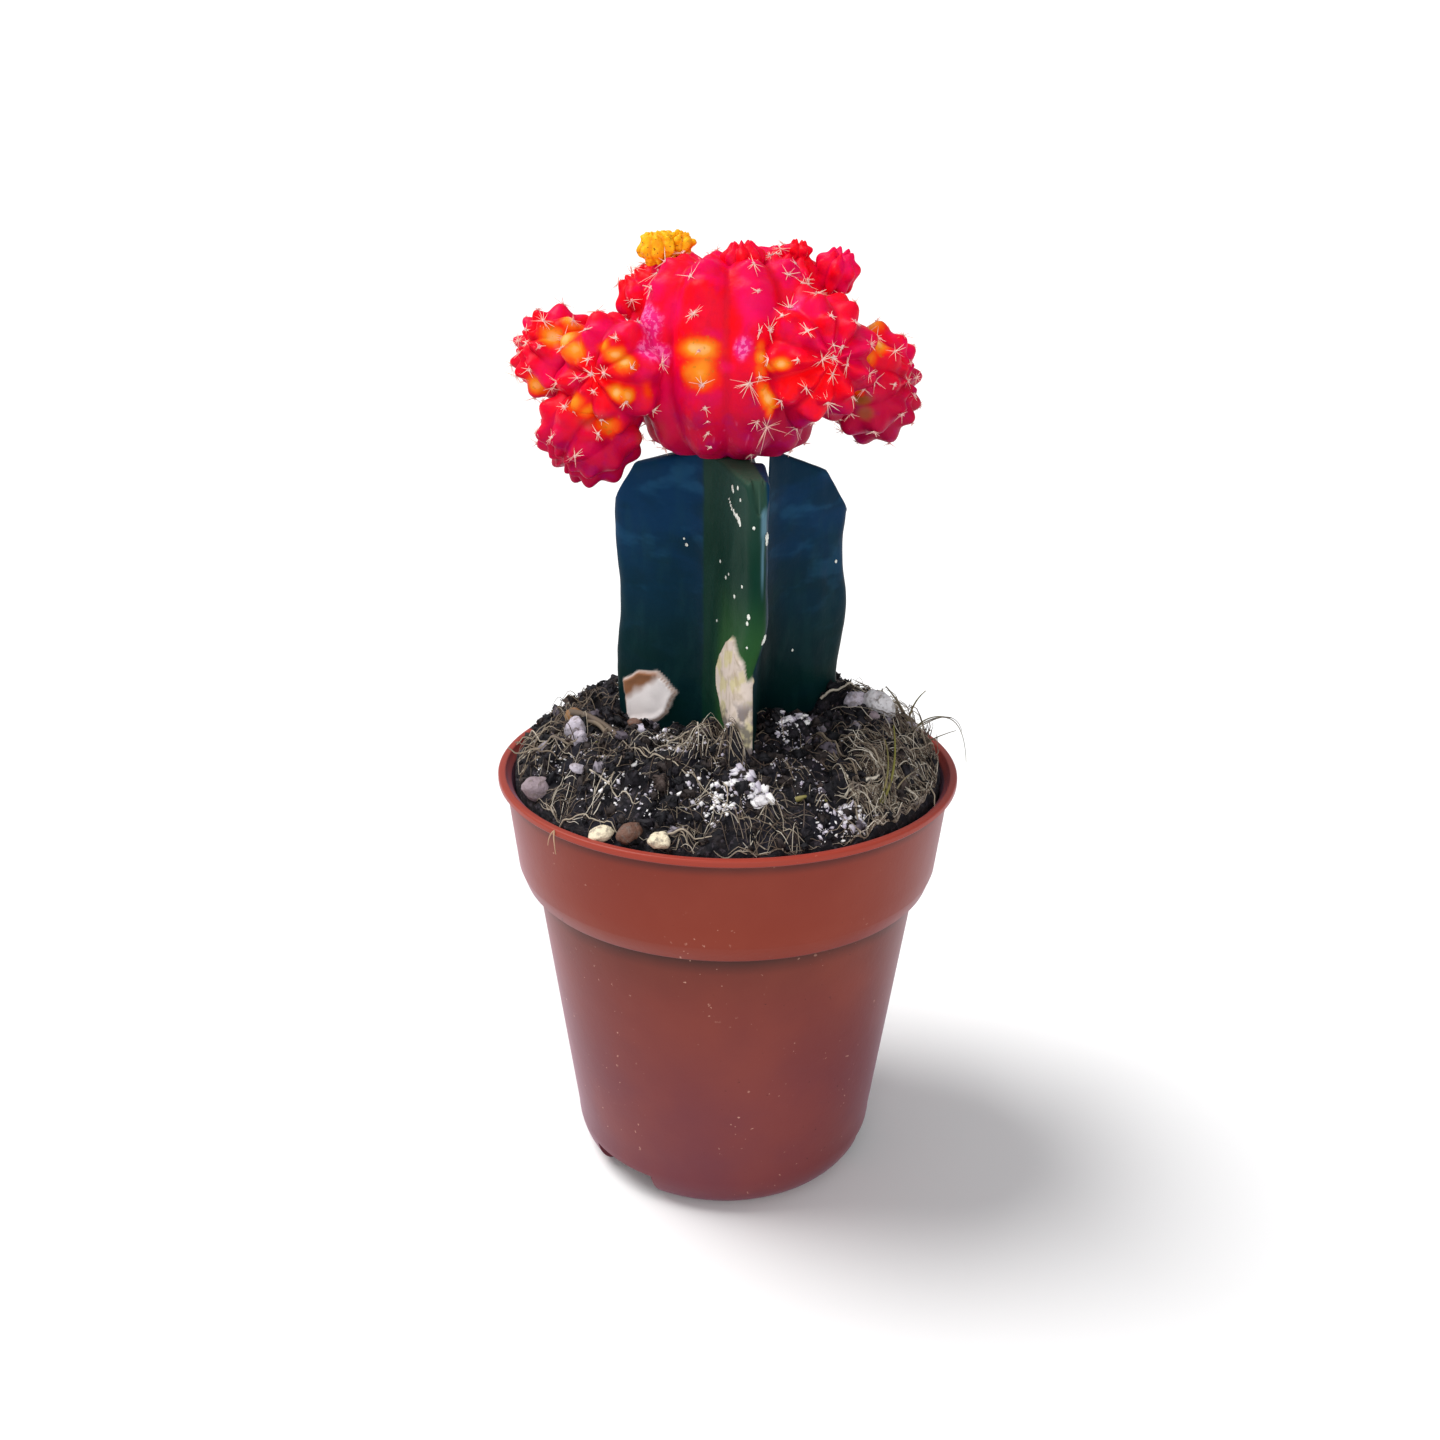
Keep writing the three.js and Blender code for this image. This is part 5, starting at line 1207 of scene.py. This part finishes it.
def moulded_plastic():
    """Injection-moulded polypropylene: a satin terracotta skin, more plum towards the foot as a painted
    reflection of the floor, with painted shade in the corners under the band and the lip, a painted
    highlight on top of the lip, a faint lavender sheen and a little dust."""
    parts = new_material("moulded terracotta polypropylene")
    tree = parts[1]
    here = add_node(tree, "ShaderNodeTexCoord").outputs["Object"]
    place = add_node(tree, "ShaderNodeSeparateXYZ", {0: here})
    height = add_node(tree, "ShaderNodeMapRange", {0: place.outputs[2], 2: POT["height"] * MM})
    # Painted light by height: the plum stops low down are a painted reflection of the floor, the dark
    # stops painted shade in the corners under the band and under the lip, and the last stop a painted
    # highlight on top of the lip
    shade = add_node(tree, "ShaderNodeValToRGB", {0: height.outputs[0]}, stops=[
        (0.0, "#662f39"), (0.3, "#6b2e32"), (0.6, "#6f2d26"), (0.69, "#6a2c22"), (0.725, "#421f19"),
        (0.742, "#421f19"), (0.745, "#782b1b"), (0.79, "#7d2d1b"), (0.955, "#7a2c1d"), (0.972, "#54211a"),
        (0.983, "#5c251c"), (0.988, "#98382a")])
    # Real dust and soil specks are about 0.2 mm; they are drawn up to 1 mm wide, so that they show
    dust = [mottle(tree, 1.0, 0.70, 0.75, detail=2.0), mottle(tree, 14.0, 0.48, 0.66)]
    dirt = [mottle(tree, 0.8, 0.72, 0.75, seed=0.4), mottle(tree, 18.0, 0.45, 0.6, seed=0.2)]
    colour = painted(tree, shade.outputs[0], [
        (0.3, [mottle(tree, 22.0, 0.35, 0.7)], srgb("#8c3f2c")),
        (0.7, dust, srgb("#c99a86")),
        (0.8, dirt, srgb("#3a1714")),
    ])
    bumps = [(mottle(tree, 0.5, 0.0, 1.0), 0.01), (mottle(tree, 7.0, 0.0, 1.0), 0.05)]
    return coat(parts, colour, bumps, Roughness=0.4, Specular_IOR_Level=0.2, Sheen_Weight=0.2,
                Sheen_Roughness=0.35, Sheen_Tint=srgb("#d9b4d8"))


def peat():
    """Damp peat compost: nearly black with a cool cast, brown and grey crumbs in it."""
    parts = new_material("damp peat compost")
    tree = parts[1]
    colour = painted(tree, srgb("#0f0e15"), [
        (0.9, [mottle(tree, 2.2, 0.5, 0.64)], srgb("#231e20")),
        (0.6, [mottle(tree, 0.9, 0.56, 0.66, seed=0.3)], srgb("#4a434b")),
        (1, [mottle(tree, 7.0, 0.5, 0.68, seed=0.7)], srgb("#100f1c")),
    ])
    return coat(parts, colour, [(mottle(tree, 0.7, 0.0, 1.0, detail=5.0), 0.5)], Roughness=0.75,
                Specular_IOR_Level=0.25)


def crumb_mix():
    """Crumbs of compost: mostly dark, some brown, a few pale ones of old perlite."""
    parts = new_material("compost crumbs")
    tree = parts[1]
    tone = add_node(tree, "ShaderNodeAttribute", attribute_name="tone").outputs["Fac"]
    kinds = add_node(tree, "ShaderNodeValToRGB", {0: tone}, stops=[
        (0.0, "#0f0e15"), (0.4, "#1d1a21"), (0.66, "#2f2726"), (0.84, "#463a36"), (0.93, "#5b535d"),
        (0.972, "#8c858f"), (0.992, "#c9c4d2")])
    kinds.color_ramp.interpolation = "CONSTANT"
    return coat(parts, kinds.outputs[0], [(mottle(tree, 0.4, 0.0, 1.0, detail=4.0), 0.15)], Roughness=0.7,
                Specular_IOR_Level=0.3)


def crystal():
    """Tiny salt and perlite specks: chalky white, some lilac."""
    parts = new_material("white mineral specks")
    tree = parts[1]
    tone = add_node(tree, "ShaderNodeAttribute", attribute_name="tone").outputs["Fac"]
    chalk = add_node(tree, "ShaderNodeValToRGB", {0: tone}, stops=[
        (0.0, "#a59cae"), (0.4, "#d6d1dc"), (0.8, "#f4f2f2")])
    return coat(parts, chalk.outputs[0], Roughness=0.6)


def pebble():
    """Perlite, grit and bark lumps: dull and pitted, each in its own colour."""
    parts = new_material("perlite and grit")
    tree = parts[1]
    own = add_node(tree, "ShaderNodeAttribute", attribute_name="grain_colour").outputs["Color"]
    colour = painted(tree, own, [(0.6, [mottle(tree, 1.0, 0.5, 0.66)], srgb("#6f625c"))])
    return coat(parts, colour, [(mottle(tree, 0.5, 0.0, 1.0, detail=5.0), 0.25)], Roughness=0.7)


def dry_fibre():
    """Dead roots and straw: matt, from dark brown to pale wood, greyer in places."""
    parts = new_material("dry root fibre")
    tree = parts[1]
    tone = add_node(tree, "ShaderNodeAttribute", attribute_name="tone").outputs["Fac"]
    straw = add_node(tree, "ShaderNodeValToRGB", {0: tone}, stops=[
        (0.0, "#2b2422"), (0.3, "#54463c"), (0.5, "#7a6c5c"), (0.7, "#a59886"), (0.85, "#cdc4b4"),
        (1.0, "#efe6d8")])
    colour = painted(tree, straw.outputs[0], [
        (0.5, [mottle(tree, 3.0, 0.5, 0.66, seed=0.4)], srgb("#6b605c"))])
    return coat(parts, colour, Roughness=0.7, Specular_IOR_Level=0.3)


def grass():
    """Half-dry grass: straw and brown through to olive."""
    parts = new_material("half dry grass")
    tree = parts[1]
    tone = add_node(tree, "ShaderNodeAttribute", attribute_name="tone").outputs["Fac"]
    blade = add_node(tree, "ShaderNodeValToRGB", {0: tone}, stops=[
        (0.0, "#d9a98a"), (0.15, "#4f4a44"), (0.4, "#6b655c"), (0.7, "#6f6a3e"), (1.0, "#77762e")])
    colour = painted(tree, blade.outputs[0], [(0.5, [mottle(tree, 4.0, 0.4, 0.65)], srgb("#8f7f58"))])
    return coat(parts, colour, Roughness=0.6, Specular_IOR_Level=0.3)


def stock_skin():
    """Waxy cactus epidermis: deep blue-green with a soft gloss, fresher green on one flank, and
    matt cream cork where it was wounded. Painted on it: a sky-like sheen on its upper part, shade in
    the valley by the front wing, and light on its upward faces, the flank's top and the left cork."""
    parts = new_material("waxy green cactus skin")
    _, tree, shader = parts
    flank, cork, brown, front, pale, upper, fresh, grey_and_lit_top, tip, stain, valley_shade, level = [
        add_node(tree, "ShaderNodeAttribute", attribute_name=name).outputs["Fac"] for name in (
            "flank", "cork", "brown", "front_cork", "lit_left_cork", "upper", "fresh", "grey_and_lit_top", "tip_reflection_and_seam",
            "stain", "valley_shade", "level")]
    cloudy = mottle(tree, 8.0, 0.4, 0.62, stretch=(0.5, 0.5, 1.2))
    streak = mottle(tree, 3.0, 0.45, 0.7, stretch=(1, 1, 0.35), seed=0.2)
    colour = painted(tree, srgb("#062322"), [
        # Painted sheen: the bluer upper part and its light blue patches stand in for a sky-like sheen
        (1, [upper], srgb("#0d3050")),
        # Darker horizontal bands: mottling of the skin and painted shade of its undulations
        (0.55, [cloudy], srgb("#08242c")),
        (0.5, [upper, mottle(tree, 4.5, 0.52, 0.7, stretch=(0.5, 0.5, 1), seed=0.6)], srgb("#1f4c6c")),
        # Painted shade in the valley between the front and the right wing
        (0.85, [valley_shade], srgb("#01181a")),
        (1, [flank], srgb("#0c2f24")),
        (0.75, [flank, fresh], srgb("#2f5a2c")),
        # Its own grey at the flank's top, lightened there as painted light against the crown's shade
        (0.45, [flank, grey_and_lit_top], srgb("#2c443c")),
        (0.08, [streak], srgb("#24504a")),
        # Painted light on the flank's faces that look up
        (0.35, [flank, level], srgb("#48604f")),
        # Painted bluish reflection at the top of the front wing's edge, with the pale line below it
        (0.9, [tip], srgb("#587c8c")),
        (1, [cork], srgb("#d8c9be")),
        (0.8, [cork, mottle(tree, 2.6, 0.5, 0.72, detail=5.0)], srgb("#b5a590")),
        # Painted light: the left cork is whitened where it takes less light
        (1, [pale], srgb("#fff7f6")),
        (0.7, [front, mottle(tree, 4.0, 0.5, 0.62, seed=0.9)], srgb("#cfc58e")),
        (0.75, [stain, mottle(tree, 2.4, 0.42, 0.6, seed=0.5)], srgb("#4c4854")),
        (0.4, [front, mottle(tree, 1.3, 0.5, 0.7, stretch=(1, 1, 0.3), seed=0.3)], srgb("#98825c")),
        (0.95, [brown], srgb("#8a5427")),
    ])
    rough = add_node(tree, "ShaderNodeMapRange", {0: cork, 3: 0.4, 4: 0.85}).outputs[0]
    tree.links.new(rough, shader.inputs["Roughness"])
    bumps = [(mottle(tree, 0.5, 0.0, 1.0), 0.02), (mottle(tree, 5.0, 0.0, 1.0), 0.16)]
    return coat(parts, colour, bumps, Specular_IOR_Level=0.03)


def scion_skin():
    """Chlorophyll-free cactus flesh: saturated red that light sinks into, magenta and speckled in
    places, with painted shade that makes it maroon below and darker between the ribs, yellow-orange
    patches and pale scuffs."""
    parts = new_material("saturated red cactus flesh")
    tree = parts[1]
    crest, yellow, pink, speckled, scuffed, warm, dull, low, lowest_shade, under = [
        add_node(tree, "ShaderNodeAttribute", attribute_name=name).outputs["Fac"] for name in (
            "crest", "yellow", "pink", "speckled", "scuffed", "warm", "dull", "low", "lowest_shade", "under")]
    # Painted shade in the valleys between the ribs
    valley = add_node(tree, "ShaderNodeMapRange", {0: crest, 1: 0.4, 2: 0.12},
                      interpolation_type="SMOOTHSTEP")
    colour = painted(tree, srgb("#e6052c"), [
        (0.7, [mottle(tree, 8.0, 0.46, 0.6, seed=0.1)], srgb("#ef0510")),
        (0.85, [mottle(tree, 6.0, 0.47, 0.62, seed=0.8)], srgb("#df0450")),
        (0.95, [warm], srgb("#fb0810")),
        (0.3, [mottle(tree, 1.6, 0.5, 0.7, seed=0.35)], srgb("#c60434")),
        # Painted shade in the rib valleys
        (0.4, [valley.outputs[0]], srgb("#b0021e")),
        # Painted shade towards the bottom of the heads and under them, with a magenta mottle in it
        (0.88, [low], srgb("#b00234")),
        (0.5, [under], srgb("#970330")),
        (0.5, [lowest_shade], srgb("#7e0838")),
        (0.75, [low, mottle(tree, 3.2, 0.48, 0.68, seed=0.45)], srgb("#9c0450")),
        # Olive-brown low on the offsets: own colour, darker as painted shade under them
        (0.75, [dull], srgb("#86581a")),
        (0.6, [scuffed, mottle(tree, 1.0, 0.57, 0.7, detail=4.0, stretch=(1, 1, 0.2), seed=0.5)],
         srgb("#c8507c")),
        (0.85, [pink], srgb("#ea0a5c")),
        (0.7, [speckled], srgb("#dc2a86")),
        (0.85, [speckled, mottle(tree, 0.7, 0.47, 0.58, detail=4.0)], srgb("#ef7ab4")),
    ])
    blush = add_node(tree, "ShaderNodeValToRGB", {0: yellow}, stops=[
        (0.0, "#e8041c"), (0.3, "#ea2a0c"), (0.55, "#ec5a10"), (0.8, "#ee8a1c"), (1.0, "#f2b670")])
    edge = add_node(tree, "ShaderNodeMapRange", {0: yellow, 1: 0.02, 2: 0.4},
                    interpolation_type="SMOOTHSTEP")
    colour = painted(tree, colour, [
        (1, [edge.outputs[0]], blush.outputs[0]),
        (0.5, [edge.outputs[0], mottle(tree, 0.9, 0.6, 0.7, seed=0.15)], srgb("#b8741c")),
    ])
    bumps = [(mottle(tree, 0.45, 0.0, 1.0), 0.03), (mottle(tree, 2.4, 0.0, 1.0), 0.1)]
    return coat(parts, colour, bumps, Roughness=0.42, Specular_IOR_Level=0.07, Subsurface_Weight=0.2,
                Subsurface_Radius=(1.0, 0.2, 0.16), Subsurface_Scale=0.0018)


def pup_skin():
    """The same flesh without red: golden yellow, a deeper orange painted as shade between its ribs,
    with brown specks.
    """
    parts = new_material("golden yellow cactus flesh")
    tree = parts[1]
    crest = add_node(tree, "ShaderNodeAttribute", attribute_name="crest").outputs["Fac"]
    valley = add_node(tree, "ShaderNodeMapRange", {0: crest, 1: 0.6, 2: 0.1}, interpolation_type="SMOOTHSTEP")
    colour = painted(tree, srgb("#f6b410"), [
        (0.7, [mottle(tree, 2.2, 0.45, 0.62)], srgb("#f09a10")),
        # Painted shade between the ribs: a deeper orange
        (0.6, [valley.outputs[0]], srgb("#e07a0c")),
        (0.9, [mottle(tree, 0.6, 0.62, 0.69)], srgb("#7a3f12")),
    ])
    return coat(parts, colour, [(mottle(tree, 0.6, 0.0, 1.0), 0.08)], Roughness=0.5, Specular_IOR_Level=0.15,
                Subsurface_Weight=0.15, Subsurface_Radius=(1.0, 0.6, 0.2), Subsurface_Scale=0.0012)


def wool():
    """Areole wool: short felted hair, pinkish cream, quite matt."""
    parts = new_material("areole wool")
    tree = parts[1]
    tone = add_node(tree, "ShaderNodeAttribute", attribute_name="tone").outputs["Fac"]
    felt = add_node(tree, "ShaderNodeValToRGB", {0: tone}, stops=[
        (0.0, "#d98a96"), (0.4, "#f0bfbc"), (1.0, "#fbe6dc")])
    return coat(parts, felt.outputs[0], Roughness=0.85, Specular_IOR_Level=0.2)


def spine_horn():
    """Cactus spines: thin horn, pale cream with a pink cast."""
    parts = new_material("pale cactus spine")
    tree = parts[1]
    tone = add_node(tree, "ShaderNodeAttribute", attribute_name="tone").outputs["Fac"]
    horn = add_node(tree, "ShaderNodeValToRGB", {0: tone}, stops=[
        (0.0, "#e8a59c"), (0.35, "#f3c3b2"), (1.0, "#fbe3d2")])
    return coat(parts, horn.outputs[0], Roughness=0.5, Specular_IOR_Level=0.3)


def scab_cork():
    """Small dried wounds on the stock: pale matt cork."""
    parts = new_material("pale cork scab")
    tree = parts[1]
    colour = painted(tree, srgb("#dfe2da"), [(0.8, [mottle(tree, 0.7, 0.5, 0.66)], srgb("#a8a49c"))])
    return coat(parts, colour, Roughness=0.75, Specular_IOR_Level=0.3)


# Build every piece

rng = random.Random(SEED)
# Named inputs of the trees of small shapes, with their defaults
LUMP = dict(Detail=("NodeSocketInt", 2), Roughness=("NodeSocketFloat", 1.0))
NEEDLE = dict(Bend=("NodeSocketFloat", 1.0), Steps=("NodeSocketInt", 4), Sides=("NodeSocketInt", 4))

finish_piece(make_pot(), moulded_plastic(), "pot")

finish_piece(make_soil(), peat(), "soil")
everywhere = [(0, 0, SOIL["edge_radius"], CRUMBS["count"], CRUMBS["largest"])]
crumbs = repeated("peat_crumbs", repeat_tree("crumbs", crumb_mix(), lump_shape, **LUMP),
                  *ground_lumps(rng, everywhere, CRUMBS["smallest"], 0, 0.55),
                  Detail=2, Roughness=4.2, Seed=SEED)
finish_piece(crumbs)
specks = repeated("mineral_specks", repeat_tree("specks", crystal(), lump_shape, **LUMP),
                  *ground_lumps(rng, SPECKS, 0.12, 0.25, 0.22), Detail=1, Roughness=3.6, Seed=SEED + 1)
finish_piece(specks)
finish_piece(make_grains(rng), pebble())
fibres = grown(curve_object("fibre_paths", fibre_strands(rng)), strand_tree("fibres", dry_fibre()),
               "root_fibres", Sides=4)
finish_piece(fibres)
blades = grown(curve_object("blade_paths", blade_strands()), strand_tree("blades", grass()),
               "grass_blades", Sides=5)
finish_piece(blades)

stock = make_stock()
dress_stock(stock)
finish_piece(stock, stock_skin(), "rootstock")
surface = kdtree.KDTree(len(stock.data.vertices))
for vertex in stock.data.vertices:
    surface.insert(vertex.co / MM, vertex.index)
surface.balance()
found = [surface.find(row[:3]) for row in SCABS]
scabs = repeated("stock_scabs", repeat_tree("scabs", scab_cork(), lump_shape, **LUMP),
                 [place for place, _, _ in found], [stock.data.vertices[i].normal for _, i, _ in found],
                 [(row[3], row[3], 0.14) for row in SCABS], Detail=3, Roughness=1.3, Seed=SEED)
finish_piece(scabs)

scion = make_scion()
rows = set_on_skin(areoles(rng), scion)
finish_piece(scion, scion_skin(), "scion")
tufts = repeated("scion_wool", repeat_tree("wool", wool(), needle_shape, **NEEDLE),
                 *spread_needles(rng, rows, "wool"), Bend=0.6, Steps=2, Sides=3, Seed=SEED)
finish_piece(tufts)
spines = repeated("scion_spines", repeat_tree("spines", spine_horn(), needle_shape, **NEEDLE),
                  *spread_needles(rng, rows, "spines"), Bend=1.6, Steps=4, Sides=4, Seed=SEED + 1)
finish_piece(spines)

pup_shells = [head_shell(head, "yellow_", *SHELL_MESH["yellow"]) for head in YELLOW_HEADS]
pups = union_of([shell for shell, _ in pup_shells], [crest for _, crest in pup_shells], "offset_flesh")
pup_points = points_of(pups)
move_points(pups, pup_points + normals_of(pups) * (0.5 * noise_at(pup_points, 1.0, 4.0))[:, None])
finish_piece(pups, pup_skin(), "yellow_pups")

# Floor, light and camera

# Matt white seamless paper, too wide to show an edge
PAPER_HALF = 4000
floor_material, _, floor_shader = new_material("white studio paper")
floor_shader.inputs["Base Color"].default_value = srgb("#f3f3f4")
floor_shader.inputs["Roughness"].default_value = 0.9
floor_shader.inputs["Specular IOR Level"].default_value = 0.1
corners = [(x * PAPER_HALF, y * PAPER_HALF, 0) for x, y in ((-1, -1), (1, -1), (1, 1), (-1, 1))]
paper = mesh_object("paper", corners, [(0, 1, 2, 3)])
paper.data.materials.append(floor_material)

scene = bpy.context.scene
world = bpy.data.worlds.new("studio")
world.use_nodes = True
scene.world = world
sky = world.node_tree
for node in list(sky.nodes):
    sky.nodes.remove(node)
# The camera sees white; a weaker and slightly cool light falls on the object
seen = add_node(sky, "ShaderNodeBackground", {"Color": (1, 1, 1, 1), "Strength": 1.2})
lit = add_node(sky, "ShaderNodeBackground", {"Color": (0.96, 0.98, 1, 1), "Strength": 0.42})
ray = add_node(sky, "ShaderNodeLightPath")
either = add_node(sky, "ShaderNodeMixShader", {
    0: ray.outputs["Is Camera Ray"], 1: lit.outputs[0], 2: seen.outputs[0]})
add_node(sky, "ShaderNodeOutputWorld", {"Surface": either.outputs[0]})

# Broad suns light the paper evenly; a wide angle makes the light of a large soft box
LIGHTS = [
    dict(name="key", to=(0.56, -0.12, -1.0), angle=34, strength=3.0, colour=(1, 0.99, 0.97)),
    dict(name="front_fill", to=(-0.12, 1.0, -0.35), angle=60, strength=1.35, colour=(1, 1, 1)),
]
for setup in LIGHTS:
    data = bpy.data.lights.new(setup["name"], "SUN")
    data.angle = math.radians(setup["angle"])
    data.energy = setup["strength"]
    data.color = setup["colour"]
    lamp = bpy.data.objects.new(setup["name"], data)
    scene.collection.objects.link(lamp)
    lamp.matrix_world = Vector(setup["to"]).to_track_quat("-Z", "Y").to_matrix().to_4x4()

camera_data = bpy.data.cameras.new("camera")
camera_data.sensor_fit = "HORIZONTAL"
camera_data.sensor_width = SENSOR
camera_data.lens = FOCAL_PIXELS / FRAME_PIXELS * SENSOR
camera = bpy.data.objects.new("camera", camera_data)
scene.collection.objects.link(camera)
level = math.cos(CAMERA_PITCH)
look = Vector((math.sin(CAMERA_YAW) * level, math.cos(CAMERA_YAW) * level, -math.sin(CAMERA_PITCH)))
side = look.cross(Vector((0, 0, 1))).normalized()
up = side.cross(look)
right = side * math.cos(CAMERA_ROLL) + up * math.sin(CAMERA_ROLL)
above = up * math.cos(CAMERA_ROLL) - side * math.sin(CAMERA_ROLL)
turn = Matrix((right, above, -look)).transposed().to_4x4()
camera.matrix_world = Matrix.Translation(Vector(CAMERA_AT) * MM) @ turn
scene.camera = camera
scene.view_settings.view_transform = "Standard"
